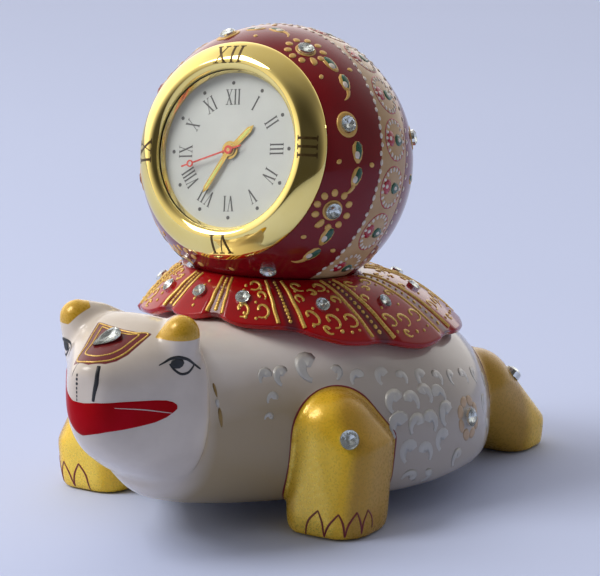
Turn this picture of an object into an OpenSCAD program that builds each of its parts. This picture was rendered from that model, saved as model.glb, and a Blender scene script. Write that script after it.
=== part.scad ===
// Carved stone tortoise that carries a painted ball with a press-in quartz clock.
// Millimetres. The table is z = 0, the tortoise looks along -Y, its left side is +X.

/* [Tortoise body] */
// Length of the body from the snout to the rump
body_len = 123; // [100:0.5:170]
// How far the rear toes stand behind the rump
toe_reach = 4.6; // [1:0.2:8]
// Width of the body across the flanks
body_w = 82; // [64:1:110]
// Height of the belly above the table
belly_gap = 2.8; // [2:0.1:6]
// Height of the back where it runs under the shell
back_z = 43; // [38:0.5:50]

/* [Head] */
// Width of the head across the cheeks
head_w = 33; // [24:0.5:40]
// Height of the crown between the ears
head_top = 48; // [40:0.5:56]
// Distance between the two ear tips
ear_span = 26; // [18:0.5:32]
// Height of an ear above the crown
ear_rise = 1.3; // [1:0.1:6]
// How far the ears sit off the middle
ear_shift = -0.7; // [-3:0.1:3]

/* [Legs] */
// Distance between the centres of the left and right feet
leg_track = 58.4; // [48:0.2:72]
// How far the front feet stand off the middle
leg_shift = -1.5; // [-4:0.25:4]
// Width of a front foot
front_foot_w = 18.9; // [12:0.1:24]
// Width of a rear foot
rear_foot_w = 15; // [10:0.5:20]
// Height of the left front leg
front_leg_h = 28.3; // [20:0.1:40]
// Height of the right front leg, carved lower and rounder
right_leg_h = 25; // [20:0.1:40]
// Height of the rear haunches
rear_leg_h = 24; // [16:0.5:36]

/* [Shell] */
// Width of the shell at its hem
shell_w = 67; // [50:0.5:84]
// Length of the shell at its hem
shell_len = 76; // [56:0.5:90]
// Height of the flat top over the hem at the flanks
shell_h = 14.2; // [10:0.1:20]
// How much the hem rises over the neck
hem_rise = 5.7; // [0:0.1:7]
// Height of the middle of the flat top above the table
shell_top_z = 47.7; // [44:0.1:56]
// How far the shell leans back
shell_tilt = 5; // [0:0.5:12]
// Depth of the narrow strips between the panels
flute_d = 0.7; // [0.2:0.05:1.2]
// Glue gap between the shell and the back
shell_gap = 0.12; // [0.05:0.01:0.4]

/* [Ball] */
// Diameter of the ball
ball_d = 57.3; // [54:0.1:70]
// Diameter of the flat seat under the ball
seat_d = 36; // [28:0.5:44]
// How far the dial is tipped back
dial_tilt = 16; // [0:1:30]
// How far the clock is rolled in its hole
dial_roll = 7; // [-20:1:20]
// Glue gap under the ball
seat_gap = 0.1; // [0.02:0.01:0.5]

/* [Stones] */
// Diameter of the round stones on the ball
ball_stone_d = 3.4; // [2:0.1:4]
// Diameter of the round stones on the shell
shell_stone_d = 3; // [2:0.1:4]
// Diameter of the round stones on legs and flanks
leg_stone_d = 4; // [2:0.1:5]
// Length of the drop stone on the forehead
drop_len = 6; // [4:0.1:8]
// How far the drop stone points off the snout
drop_turn = 25; // [-90:1:90]
// Glue gap round every stone
stone_gap = 0.06; // [0.02:0.01:0.2]

/* [Clock insert] */
// Diameter of the bezel
bezel_d = 45; // [42:0.5:46]
// Height of the bezel crest above the ball
bezel_h = 3.7; // [3.2:0.1:6]
// Opening of the bezel over the crystal
opening_d = 33; // [28:0.5:34]
// Visible diameter of the dial
dial_show_d = 31.9; // [26:0.1:32.2]
// Diameter of the case where it enters the ball
case_d = 38.8; // [38.4:0.1:40]
// Room between the hole in the ball and the case
bore_gap = 0.6; // [0.3:0.05:1]
// Depth of the wide part of the case
case_depth = 5.6; // [5:0.1:7]
// Diameter of the movement tube behind it
tube_d = 29.2; // [28.8:0.1:31]
// Depth of the back of the case
back_depth = 17; // [16.6:0.1:18]
// Thickness of the crystal
crystal_t = 0.7; // [0.5:0.02:0.9]
// Thickness of the dial
dial_t = 0.4; // [0.2:0.05:0.6]
// Diameter of the button cell
cell_d = 11.6; // [9:0.1:12]
// Height of the button cell
cell_h = 5.4; // [3:0.1:5.6]

/* [Hands] */
// Length of the hour hand
hour_len = 7.4; // [5:0.1:9]
// Length of the minute hand
minute_len = 10.5; // [8:0.1:13]
// Length of the second hand
second_len = 11.7; // [8:0.1:13.5]
// Hour angle at rest, clockwise from twelve
hour_at = 47.8; // [0:0.1:360]
// Minute angle at rest, clockwise from twelve
minute_at = 214.2; // [0:0.1:360]
// Second angle at rest, clockwise from twelve
second_at = 254; // [0:0.1:360]

/* [Fits] */
// Running gap between a turning shaft and its hole
run_gap = 0.04; // [0.02:0.01:0.06]
// Gap between pieces that are pressed or screwed together
fixed_gap = 0.01; // [0.005:0.005:0.02]
// Share of the tooth pitch left as play
tooth_play = 0.16; // [0.12:0.01:0.24]

/* [Hidden] */
$fn = 64;

marble = [0.88, 0.87, 0.84];
red = [0.62, 0.02, 0.06];
maroon = [0.45, 0.02, 0.06];
gold = [0.86, 0.66, 0.2];
steel = [0.72, 0.72, 0.74];
brass = [0.8, 0.65, 0.3];
white = [0.93, 0.93, 0.93];
black = [0.12, 0.12, 0.13];
glass = [0.85, 0.9, 0.92];
copper = [0.72, 0.4, 0.2];
green = [0.1, 0.35, 0.2];

// Places along the figure, as shares of its length from the snout
figure_len = body_len + toe_reach;
snout_y = -figure_len / 2;
ball_y = snout_y + 0.566 * body_len;
front_leg_y = snout_y + 0.397 * body_len;
rear_leg_y = figure_len / 2 - rear_foot_w / 2;
ear_y = snout_y + 0.128 * body_len;
ear_r = 0.13 * head_w;
ear_tip_r = 0.11 * head_w;

// Ball, its tilted seat on the shell, and the dial frame
ball_r = ball_d / 2;
seat_r = seat_d / 2;
seat_s = sqrt(ball_r * ball_r - seat_r * seat_r) + seat_gap;
top_y = ball_y - seat_s * sin(shell_tilt);
ball_z = shell_top_z + seat_s * cos(shell_tilt);
hem_y = 0.099 * body_len;
face_r = bezel_d / 2 + 0.1;
face_s = sqrt(ball_r * ball_r - face_r * face_r);

// Clock stack along the dial axis, zero at the flat of the ball
case_r = case_d / 2;
bore_r = case_r + bore_gap;
tube_r = tube_d / 2;
tube_wall = 1.2;
tube_in = tube_r - tube_wall;
bezel_r = bezel_d / 2;
open_r = opening_d / 2;
disc_r = case_r - 1.5;
ledge_r = disc_r - 0.9;
plate_r = ledge_r - 2 * fixed_gap;
hand_t = 0.18;
hour_hand_z = dial_t + 0.3;
minute_hand_z = hour_hand_z + 0.34;
second_hand_z = minute_hand_z + 0.32;
crystal_low = second_hand_z + hand_t + 0.14;
crystal_top = crystal_low + crystal_t;
ring_top = crystal_low - 2 * fixed_gap;
plate_top = -3;
plate_t = 1.4;
plate_low = plate_top - plate_t;
floor_top = plate_low - 2 * fixed_gap;
bridge_top = -10.2;
bridge_t = 1;
bridge_low = bridge_top - bridge_t;
bore_depth = case_depth + 0.8;
knob_h = 2.2;
cover_t = 1.2;
cover_low = -back_depth - cover_t;
tube_bore_depth = back_depth + cover_t + knob_h + 2.6;

// Wheels of the going train and of the motion work
m_seconds = 0.17;
m_rotor = 0.16;
m_third = 0.17;
m_minute = 0.28;
n_second = 60;
n_second_pin = 8;
n_inter = 60;
n_inter_pin = 12;
n_rotor = 10;
n_third = 64;
n_third_pin = 8;
n_centre = 60;
n_cannon = 12;
n_minute = 36;
n_minute_pin = 10;
n_hour = 40;
cd_inter = m_seconds * (n_second + n_inter_pin) / 2;
cd_rotor = m_rotor * (n_inter + n_rotor) / 2;
cd_third = m_third * (n_third + n_second_pin) / 2;
m_centre_fit = 2 * cd_third / (n_centre + n_third_pin);
cd_minute = m_minute * (n_cannon + n_minute) / 2;
m_hour = 2 * cd_minute / (n_minute_pin + n_hour);
dir_inter = 180;
dir_rotor = 230;
dir_third = 60;
dir_minute = 300;
inter_xy = polar(cd_inter, dir_inter);
rotor_xy = inter_xy + polar(cd_rotor, dir_rotor);
third_xy = polar(cd_third, dir_third);
minute_xy = polar(cd_minute, dir_minute);
cell_xy = [-1.5, 5.5];
pivot_r = 0.26;
second_arbor_r = 0.38;
cannon_in = second_arbor_r + run_gap;
cannon_r = 0.9;
pipe_in = cannon_r + run_gap;
pipe_r = 1.45;
set_r = 0.5;
coil_y = -9.9;
coil_r = 1.9;
coil_z = -7.1;
pillar_dirs = [5, 110, 315];
pillar_at = 12;
pillar_r = 1;
screw_r = 0.4;
case_screw_dirs = [60, 180, 270];
dial_foot_dirs = [100, 190];
case_screw_at = ledge_r - 1.7;

// Levels of the wheels, under the dial and between the plates
wheel_t = 0.5;
z_hour = plate_top + 1.8;
z_cannon = plate_top + 0.15;
z_minute = plate_top + 0.4;
z_minute_pin = plate_top + 0.9;
z_centre = plate_low - 1.1;
z_third_pin = plate_low - 1.5;
z_third = plate_low - 3.1;
z_second_pin = plate_low - 3.4;
z_second = plate_low - 4.9;
z_inter = plate_low - 2.2;
z_inter_pin = plate_low - 5.1;
z_rotor = plate_low - 2.4;
z_stator = bridge_top + 1.6;
z_core = coil_z - 0.48;
magnet_top = plate_low - 2.8;
magnet_low = bridge_top + 1.2;
arbor_top = plate_low - 0.2;
arbor_low = bridge_top + 0.2;

// Phases that keep every pair of wheels in mesh at rest
ph_second = 0;
ph_inter_pin = mesh(ph_second, n_second, n_inter_pin, dir_inter);
ph_inter = 0;
ph_rotor = mesh(ph_inter, n_inter, n_rotor, dir_rotor);
ph_second_pin = 0;
ph_third = mesh(ph_second_pin, n_second_pin, n_third, dir_third);
ph_centre = 0;
ph_third_pin = mesh(ph_centre, n_centre, n_third_pin, dir_third);
ph_cannon = 0;
ph_minute = mesh(ph_cannon, n_cannon, n_minute, dir_minute);
ph_hour = 0;
ph_minute_pin = mesh(ph_hour, n_hour, n_minute_pin, dir_minute);

function polar(r, a) = [r * cos(a), r * sin(a)];
function mesh(ph, na, nb, dir) = dir + 180 - (360 / nb) * ((ph - dir) * na / 360 + 0.5);
function mix(a, b, u) = a + (b - a) * u;
function flat_list(l) = [for (a = l) for (b = a) b];
function ease(a, b, x) = let (u = min(1, max(0, (x - a) / (b - a)))) u * u * (3 - 2 * u);

// Smooth curve through rows of a small table
function seg(tb, t, i = 0) = (i >= len(tb) - 2 || t < tb[i + 1][0]) ? i : seg(tb, t, i + 1);
function lean(tb, i, c) =
    let (a = max(0, i - 1), b = min(len(tb) - 1, i + 1))
    (tb[b][c] - tb[a][c]) / (tb[b][0] - tb[a][0]);
function flow(tb, t, c) =
    let (i = seg(tb, t), h = tb[i + 1][0] - tb[i][0], u = (t - tb[i][0]) / h)
    let (p = tb[i][c], q = tb[i + 1][c], s = lean(tb, i, c) * h, e = lean(tb, i + 1, c) * h)
    p + s * u + (3 * (q - p) - 2 * s - e) * u * u + (2 * (p - q) + s + e) * u * u * u;

// Body run: place, share of width, underside share, top share, height share of the widest line,
// squareness over it, squareness under it
torso_run = [
    [0.143, 0.27, 0.30, 0.97, 0.50, 2.3, 2.3],
    [0.176, 0.31, 0.22, 0.99, 0.49, 2.3, 2.3],
    [0.200, 0.33, 0.19, 0.99, 0.47, 2.3, 2.3],
    [0.241, 0.37, 0.15, 0.98, 0.44, 2.3, 2.4],
    [0.322, 0.48, 0.10, 0.953, 0.38, 2.4, 2.8],
    [0.403, 0.66, 0.08, 0.965, 0.32, 2.4, 3.2],
    [0.485, 0.88, 0.08, 0.965, 0.28, 2.3, 4.0],
    [0.566, 0.975, 0.08, 0.95, 0.26, 2.3, 4.2],
    [0.639, 1.00, 0.08, 0.93, 0.26, 2.3, 4.2],
    [0.729, 0.965, 0.08, 0.89, 0.26, 2.3, 4.2],
    [0.810, 0.87, 0.09, 0.845, 0.28, 2.3, 3.4],
    [0.891, 0.70, 0.12, 0.775, 0.32, 2.2, 2.8],
    [0.948, 0.48, 0.19, 0.68, 0.36, 2.1, 2.3],
    [0.980, 0.28, 0.27, 0.56, 0.40, 2.0, 2.0],
    [1.000, 0.08, 0.37, 0.45, 0.45, 2.0, 2.0]];
// Head run: the same columns, shares of the head width and of the crown height
head_run = [
    [0.000, 0.13, 0.64, 0.82, 0.50, 2.4, 2.4],
    [0.004, 0.22, 0.585, 0.845, 0.50, 2.5, 2.4],
    [0.013, 0.31, 0.53, 0.86, 0.52, 2.6, 2.4],
    [0.030, 0.42, 0.475, 0.88, 0.54, 2.7, 2.4],
    [0.054, 0.555, 0.42, 0.905, 0.55, 2.8, 2.4],
    [0.078, 0.685, 0.38, 0.93, 0.56, 2.9, 2.4],
    [0.102, 0.80, 0.34, 0.955, 0.57, 3.0, 2.4],
    [0.127, 0.90, 0.305, 0.98, 0.57, 3.0, 2.4],
    [0.150, 0.955, 0.27, 0.99, 0.56, 2.9, 2.4],
    [0.164, 0.955, 0.25, 0.985, 0.55, 2.7, 2.4],
    [0.180, 0.86, 0.24, 0.97, 0.55, 2.5, 2.3],
    [0.220, 0.62, 0.26, 0.93, 0.55, 2.3, 2.3],
    [0.255, 0.40, 0.32, 0.88, 0.55, 2.2, 2.2]];

function torso_low(t) = back_z * (flow(torso_run, t, 2) - 0.08) + belly_gap;
function torso_pt(t, a) = side_pt(t, a, body_w / 2 * flow(torso_run, t, 1), torso_low(t),
    back_z * flow(torso_run, t, 3), flow(torso_run, t, 4), flow(torso_run, t, sin(a) > 0 ? 5 : 6));
function head_pt(t, a) = side_pt(t, a, head_w / 2 * flow(head_run, t, 1),
    head_top * flow(head_run, t, 2), head_top * flow(head_run, t, 3),
    flow(head_run, t, 4), flow(head_run, t, sin(a) > 0 ? 5 : 6));
function side_pt(t, a, w, lo, hi, k, n) =
    let (zc = mix(lo, hi, k), cx = cos(a), sz = sin(a))
    [w * sign(cx) * pow(abs(cx), 2 / n), snout_y + t * body_len,
     zc + (sz > 0 ? hi - zc : zc - lo) * sign(sz) * pow(abs(sz), 2 / n)];

// Shell surface: bearing round the shell and share of the way from the top to the hem
panel_dirs = [-120, -97, -75, -40, -7, 30, 62, 95, 130, 165, 203];
panel_n = len(panel_dirs);
function on_shell(p) = [p[0], top_y + p[1] * cos(shell_tilt) + p[2] * sin(shell_tilt),
    shell_top_z - p[1] * sin(shell_tilt) + p[2] * cos(shell_tilt)];
function panel_next(i) = panel_dirs[(i + 1) % panel_n] + (i == panel_n - 1 ? 360 : 0);
function panel_at(a, i = 0) = (i == panel_n - 1 || a < panel_dirs[i + 1]) ? i : panel_at(a, i + 1);
function panel_u(a) =
    let (b = a - 360 * floor((a - panel_dirs[0]) / 360), i = panel_at(b))
    let (u = (b - panel_dirs[i]) / (panel_next(i) - panel_dirs[i])) u < 0.5 ? u : u - 1;
function groove(a) = ease(0.30, 0.40, abs(panel_u(a)));
function scallop(a) = 0.5 + 0.5 * cos(360 * panel_u(a));
function hem_lift(a) = (sin(a) < 0 ? 1 : 0.35) * hem_rise * sin(a) * sin(a);
function hem_drop(a) = shell_h - hem_lift(a) + 0.9 * (scallop(a) - 0.5);
function shell_raw(a, s, grow = 0) =
    let (f = 0.5 * scallop(a) - flute_d * groove(a), top = seat_r + 0.8)
    let (rx = mix(top, shell_w / 2, s) + f * s + grow, ry = mix(top, shell_len / 2, s) + f * s + grow)
    [rx * cos(a), hem_y * s + ry * sin(a), (1.2 - hem_drop(a)) * pow(s, 1.55 + 0.35 * sin(a)) + grow];
function shell_pt(a, s, grow = 0) = on_shell(shell_raw(a, s, grow));
function under_raw(a, k, drop, grow = 0) =
    let (p = shell_raw(a, 1, grow))
    [p[0] * k, hem_y + (p[1] - hem_y) * k, p[2] - drop - 2 * grow];
shell_floor = 0.72 * shell_h;
function shell_rings(grow, na, full = true) = [
    [for (i = [0 : na - 1]) shell_pt(i * 360 / na, 0, grow)],
    for (s = full ? [0.14, 0.28, 0.42, 0.55, 0.68, 0.8, 0.91, 1] : [0.5, 1])
        [for (i = [0 : na - 1]) shell_pt(i * 360 / na, s, grow)],
    [for (i = [0 : na - 1]) on_shell(under_raw(i * 360 / na, 0.985, 0.9, grow))],
    [for (i = [0 : na - 1]) on_shell(under_raw(i * 360 / na, 0.94, 1.2, grow))],
    [for (i = [0 : na - 1]) on_shell(under_raw(i * 360 / na, 0.82, 0.4, grow))],
    [for (i = [0 : na - 1]) let (p = under_raw(i * 360 / na, 0.45, 0, grow))
        on_shell([p[0], p[1], -shell_floor - grow])]];

// Closed skin over a stack of equal rings
module skin(rings) {
    n = len(rings[0]);
    m = len(rings);
    sides = [for (j = [0 : m - 2]) for (i = [0 : n - 1]) let (k = (i + 1) % n) each [
        [j * n + i, j * n + k, j * n + n + i],
        [j * n + k, j * n + n + k, j * n + n + i]]];
    ends = [[for (i = [n - 1 : -1 : 0]) i], [for (i = [0 : n - 1]) (m - 1) * n + i]];
    polyhedron(flat_list(rings), concat(sides, ends));
}

module in_dial() {
    translate([0, ball_y, ball_z]) rotate([90 - dial_tilt, 0, 0]) translate([0, 0, face_s]) children();
}

module in_clock() {
    in_dial() rotate([0, 0, dial_roll]) children();
}

// Brilliant stone with a flat back at z = 0 and a short sunk part
module gem(d, grow = 0) {
    translate([0, 0, -0.3 - grow]) cylinder(d = d + 2 * grow, h = 0.6 + 2 * grow, $fn = 12);
    translate([0, 0, 0.3])
        cylinder(d1 = d + 2 * grow, d2 = 0.56 * d + 2 * grow, h = 0.32 * d + grow, $fn = 12);
}

module facing(p, dir) {
    h = sqrt(dir[0] * dir[0] + dir[1] * dir[1]);
    translate(p) rotate([0, atan2(h, dir[2]), atan2(dir[1], dir[0])]) children();
}

// Toothed disc: four straight edges a tooth
module teeth(n, m, h) {
    p = 360 / n;
    half = p / 4 * (1 - tooth_play);
    tip = m * (n / 2 + 0.8);
    root = m * (n / 2 - 1.15);
    k_root = n < 16 ? 1.25 : 1.5;
    linear_extrude(h) polygon([for (i = [0 : n - 1]) each [
        polar(root, i * p - k_root * half), polar(tip, i * p - 0.42 * half),
        polar(tip, i * p + 0.42 * half), polar(root, i * p + k_root * half)]]);
}

module post(r, z1, z2) {
    translate([0, 0, min(z1, z2)]) cylinder(r = r, h = abs(z2 - z1));
}

module wheel_at(n, m, z, h, phase) {
    translate([0, 0, z]) rotate([0, 0, phase]) teeth(n, m, h);
}

module both() {
    children();
    mirror([1, 0, 0]) children();
}

// Tortoise figure
module foot(x, y, w, h) {
    r = 0.36 * w;
    o = w / 2 - r;
    for (sx = [-1, 1], sy = [-1, 1]) translate([x + sx * o, y + sy * o, 0])
        cylinder(r1 = r - 0.5, r2 = r, h = h, $fn = 20);
}
module front_leg(side) {
    x = side * leg_track / 2 + leg_shift;
    h = side > 0 ? front_leg_h : right_leg_h;
    knee = side > 0 ? [0.55, 2.5, 0.7] : [0.28, 1, 0];
    slim = side > 0 ? 0 : 1.6;
    hull() {
        foot(x, front_leg_y, front_foot_w - slim, 2.5);
        translate([0, 0, knee[0] * h])
            foot(x + 0.35 * side, front_leg_y + knee[1], front_foot_w - knee[2], 2.5);
        translate([x - 2.2 * side, front_leg_y + 1.8, h - 0.49 * front_foot_w])
            sphere(r = 0.49 * front_foot_w, $fn = 24);
    }
}
module rear_leg(side) {
    x = side * leg_track / 2;
    hull() {
        foot(x, rear_leg_y, rear_foot_w, 6);
        translate([x - 3.5 * side, rear_leg_y - 10.5, rear_leg_h - 0.6 * rear_foot_w])
            sphere(r = 0.6 * rear_foot_w, $fn = 24);
    }
}
module ear(side) {
    x = ear_span / 2;
    translate([ear_shift, 0, 0]) hull() {
        translate([side * (x - 3.6), ear_y + 1.6, head_top - 2.6 * ear_r])
            sphere(r = 1.28 * ear_r, $fn = 20);
        translate([side * (x - 0.4), ear_y + 0.6, head_top + ear_rise - ear_tip_r])
            sphere(r = ear_tip_r, $fn = 14);
        translate([side * (x - 3.5), ear_y + 4, head_top + 0.3 * ear_rise - 0.75 * ear_tip_r])
            sphere(r = 0.75 * ear_tip_r, $fn = 14);
        translate([side * (x - 7.8), ear_y + 8.4, head_top - 2.4 - 0.36 * ear_tip_r])
            sphere(r = 0.36 * ear_tip_r, $fn = 12);
    }
}
module ear_root(side) {
    x = ear_span / 2;
    translate([ear_shift, 0, 0]) hull() {
        translate([side * (x - 1), ear_y + 1, head_top - 0.5 - ear_tip_r])
            sphere(r = ear_tip_r, $fn = 14);
        translate([side * (x - 5), ear_y + 2, head_top - 2.4 * ear_r])
            sphere(r = 1.2 * ear_r, $fn = 16);
    }
}
torso_steps = [0.143, 0.17, 0.2, 0.235, 0.265, 0.3, 0.34, 0.385, 0.43, 0.475, 0.52, 0.57, 0.62, 0.67,
    0.72, 0.77, 0.82, 0.86, 0.9, 0.93, 0.955, 0.975, 0.99, 1];
head_steps = [0, 0.004, 0.012, 0.024, 0.04, 0.058, 0.08, 0.102, 0.125, 0.142, 0.154, 0.166, 0.18,
    0.22, 0.255];
module tortoise_body() {
    ring = 36;
    color(marble) difference() {
        union() {
            skin([for (t = torso_steps) [for (i = [0 : ring - 1]) torso_pt(t, i * 360 / ring)]]);
            skin([for (t = head_steps) [for (i = [0 : ring - 1]) head_pt(t, i * 360 / ring)]]);
            for (side = [-1, 1]) front_leg(side);
            for (side = [-1, 1]) rear_leg(side);
            for (side = [-1, 1]) ear(side);
            for (side = [-1, 1]) ear_root(side);
        }
        skin(shell_rings(shell_gap, 100, false));
        drop_stone(stone_gap);
        gems_on_legs(stone_gap);
        gems_on_flanks(stone_gap);
    }
}
module shell_cap() {
    color(red) difference() {
        skin(shell_rings(0, 100));
        gems_on_shell(stone_gap);
    }
}
module clock_ball() {
    color(maroon) difference() {
        translate([0, ball_y, ball_z]) sphere(r = ball_r);
        translate([0, ball_y, ball_z]) rotate([-shell_tilt, 0, 0])
            translate([-ball_d, -ball_d, -ball_d - seat_s + seat_gap])
                cube([2 * ball_d, 2 * ball_d, ball_d]);
        in_dial() cylinder(r = ball_d, h = ball_d);
        in_dial() post(bore_r, 1, -bore_depth);
        in_dial() post(tube_r + bore_gap, 1, -tube_bore_depth);
        gems_on_ball(stone_gap, ring_dirs);
        gems_on_back(stone_gap);
    }
}

// Stones
drop_t = 0.072;
drop_p = head_pt(drop_t, 90);
drop_n = [0, -0.32, 1];
module drop_stone(grow) {
    r = drop_len / 3.2;
    facing([0, drop_p[1] + 1, drop_p[2] + 0.25], drop_n) rotate([0, 0, 90 - drop_turn]) hull() {
        translate([0, 0.6, -0.4 - grow]) cylinder(r = r + grow, h = 0.8 + grow, $fn = 12);
        translate([0, 0.6, 0.4]) cylinder(r1 = r + grow, r2 = 0.5 * r + grow, h = 0.8, $fn = 12);
        translate([0, r - drop_len, -0.4 - grow]) cylinder(r = 0.3 + grow, h = 0.9 + grow, $fn = 8);
    }
}
front_gem = [0.29 * front_foot_w, front_leg_y - 0.246 * front_foot_w, 0.72 * front_leg_h];
rear_gem = [0.2 * rear_foot_w, rear_leg_y - 0.2 * rear_foot_w, 0.75 * rear_leg_h];
right_gem = [-0.44 * front_foot_w, front_leg_y + 1.6, 0.55 * right_leg_h];
module gems_on_legs(grow) {
    x = leg_track / 2;
    facing([leg_shift + x + front_gem[0], front_gem[1], front_gem[2]], [0.72, -0.62, 0.3])
        gem(leg_stone_d, grow);
    facing([leg_shift - x + right_gem[0], right_gem[1], right_gem[2]], [-0.94, 0, 0.35])
        gem(leg_stone_d, grow);
    for (side = [-1, 1]) {
        facing([side * (x + rear_gem[0]), rear_gem[1], rear_gem[2]], [side * 0.4, 0.8, 1])
            gem(leg_stone_d, grow);
    }
}
flank_t = 0.66;
flank_a = 8;
flank_p = torso_pt(flank_t, flank_a);
module gems_on_flanks(grow) {
    both() facing(flank_p, [1, 0.08, 0.12]) gem(leg_stone_d, grow);
}
module gems_on_shell(grow) {
    for (a = panel_dirs) {
        p = shell_pt(a, 0.5);
        u = shell_pt(a, 0.56) - shell_pt(a, 0.44);
        v = shell_pt(a + 4, 0.5) - shell_pt(a - 4, 0.5);
        facing(p, cross(u, v)) gem(shell_stone_d, grow);
    }
}
ring_dirs = [108, 63, 19, -22, -66, -111, 198, 153];
ring_polar = 61.5;
module gem_on_ball(pol, a, grow) {
    translate([0, ball_y, ball_z]) rotate([90 - dial_tilt, 0, 0]) rotate([0, pol, a])
        translate([0, 0, ball_r + 0.05]) gem(ball_stone_d, grow);
}
module gems_on_ball(grow, dirs) {
    for (a = dirs) gem_on_ball(ring_polar, a, grow);
}
module gems_on_back(grow) {
    for (a = [20, 70, 120, 170]) gem_on_ball(116, a, grow);
}
module head_stone() {
    color(glass) drop_stone(0);
}
module leg_stones() {
    color(glass) gems_on_legs(0);
}
module flank_stones() {
    color(glass) gems_on_flanks(0);
}
module shell_stones() {
    color(glass) gems_on_shell(0);
}
module ball_stones_front() {
    color(glass) gems_on_ball(0, ring_dirs);
}
module ball_stones_back() {
    color(glass) gems_on_back(0);
}

// Clock case
module bezel() {
    skirt = case_r + 2 * fixed_gap;
    crest = open_r + 1.9;
    rise = bezel_h - 0.35;
    wide = bezel_r - crest;
    dip = bezel_h - crystal_top - 0.3;
    color(gold) in_clock() rotate_extrude($fn = 96) polygon([
        [skirt, 0], [bezel_r, 0],
        for (k = [0 : 15 : 90]) [crest + wide * pow(cos(k), 1.5), 0.35 + rise * pow(sin(k), 1.5)],
        for (k = [30 : 30 : 90]) [crest - 1.9 * sin(k), bezel_h - dip * (1 - cos(k))],
        [open_r, crystal_top],
        [disc_r + fixed_gap, crystal_top], [disc_r + fixed_gap, 1.65], [skirt, 1.65]]);
}
module crystal() {
    color(glass) in_clock() post(disc_r - fixed_gap, crystal_low, crystal_top - fixed_gap);
}
module reflector_ring() {
    color(gold) in_clock() rotate_extrude($fn = 96) polygon([
        [dial_show_d / 2, dial_t + fixed_gap], [disc_r - fixed_gap, dial_t + fixed_gap],
        [disc_r - fixed_gap, ring_top], [open_r - 0.1, ring_top],
        [dial_show_d / 2, dial_t + 0.5]]);
}
module dial() {
    color(white) in_clock() {
        difference() {
            post(disc_r - fixed_gap, 0, dial_t);
            post(pipe_r + 0.3, -1, dial_t + 1);
        }
        for (a = dial_foot_dirs) rotate([0, 0, a]) translate([ledge_r - 2.2, 0, 0])
            post(0.5, 0.1, plate_top - 0.8);
    }
}
module case_cup() {
    color(white) in_clock() difference() {
        union() {
            post(case_r, -case_depth, 1.6);
            post(tube_r, -back_depth, 0);
        }
        post(disc_r + fixed_gap, 0 - fixed_gap, 3);
        post(ledge_r, floor_top, 3);
        post(tube_in, -back_depth - 1, 3);
        for (a = case_screw_dirs) rotate([0, 0, a]) translate([case_screw_at, 0, 0])
            post(screw_r + fixed_gap, floor_top + 1, -case_depth + 0.3);
    }
}
module grip_ring() {
    color(black) in_clock() difference() {
        post(bore_r - 0.08, -1.2, -4.4);
        post(case_r + 2 * fixed_gap, 0, -6);
    }
}
module case_screws() {
    color(steel) in_clock() for (a = case_screw_dirs) rotate([0, 0, a]) translate([case_screw_at, 0, 0]) {
        post(0.9, plate_top + fixed_gap, plate_top + 0.6);
        post(screw_r, plate_top + 0.1, -case_depth + 0.4);
    }
}

// Hands
module baton(len, w) {
    polygon([[-w / 2, 0], [w / 2, 0], [w / 2, len - w], [0, len], [-w / 2, len - w]]);
}
module hand(at, z, h, bore, hub) {
    rotate([0, 0, -at]) translate([0, 0, z]) linear_extrude(h) difference() {
        union() {
            circle(r = hub);
            children();
        }
        circle(r = bore);
    }
}
module hour_hand() {
    color(gold) in_clock() hand(hour_at, hour_hand_z, hand_t, pipe_r + fixed_gap, pipe_r + 0.4)
        baton(hour_len, 1.3);
}
module minute_hand() {
    color(gold) in_clock() hand(minute_at, minute_hand_z, hand_t, cannon_r + fixed_gap, cannon_r + 0.35)
        baton(minute_len, 1.1);
}
module second_hand() {
    bore = second_arbor_r + fixed_gap;
    color(red) in_clock() hand(second_at, second_hand_z, hand_t, bore, 0.9) difference() {
        union() {
            translate([-0.16, -3.1]) square([0.32, second_len + 3.1]);
            translate([0, 0.82 * second_len]) circle(r = 0.75);
        }
        translate([0, 0.82 * second_len]) circle(r = 0.45);
    }
}

// Movement plates
module at(p) {
    translate([p[0], p[1], 0]) children();
}
module pillars() {
    for (a = pillar_dirs) rotate([0, 0, a]) translate([pillar_at, 0, 0]) children();
}
module main_plate() {
    color(white) in_clock() difference() {
        union() {
            post(plate_r, plate_top, plate_low);
            pillars() post(pillar_r, plate_low + 0.1, bridge_top + fixed_gap);
        }
        post(cannon_r + run_gap, 0, -6);
        at(minute_xy) post(set_r + run_gap, 0, -6);
        at(third_xy) post(pivot_r + run_gap, plate_low + 1, -6);
        at(inter_xy) post(pivot_r + run_gap, plate_low + 1, -6);
        at(rotor_xy) post(pivot_r + run_gap, plate_low + 1, -6);
        for (a = dial_foot_dirs) rotate([0, 0, a]) translate([ledge_r - 2.2, 0, 0])
            post(0.5 + fixed_gap, 0, plate_top - 0.9);
        for (a = case_screw_dirs) rotate([0, 0, a]) translate([case_screw_at, 0, 0])
            post(screw_r + fixed_gap, 0, -6);
        pillars() post(screw_r + fixed_gap, bridge_top + 2.1, bridge_top - 1);
    }
}
module train_bridge() {
    color(steel) in_clock() difference() {
        post(tube_in - 0.3, bridge_top, bridge_low);
        post(pivot_r + run_gap, -8, -14);
        at(minute_xy) post(set_r + run_gap, -8, -14);
        at(third_xy) post(pivot_r + run_gap, -8, -14);
        at(inter_xy) post(pivot_r + run_gap, -8, -14);
        at(rotor_xy) post(pivot_r + run_gap, -8, -14);
        pillars() post(screw_r + fixed_gap, -8, -14);
    }
}
module bridge_screws() {
    color(steel) in_clock() pillars() {
        post(0.85, bridge_low - fixed_gap, bridge_low - 0.6);
        post(screw_r, bridge_low - 0.1, bridge_top + 2);
    }
}

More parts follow.
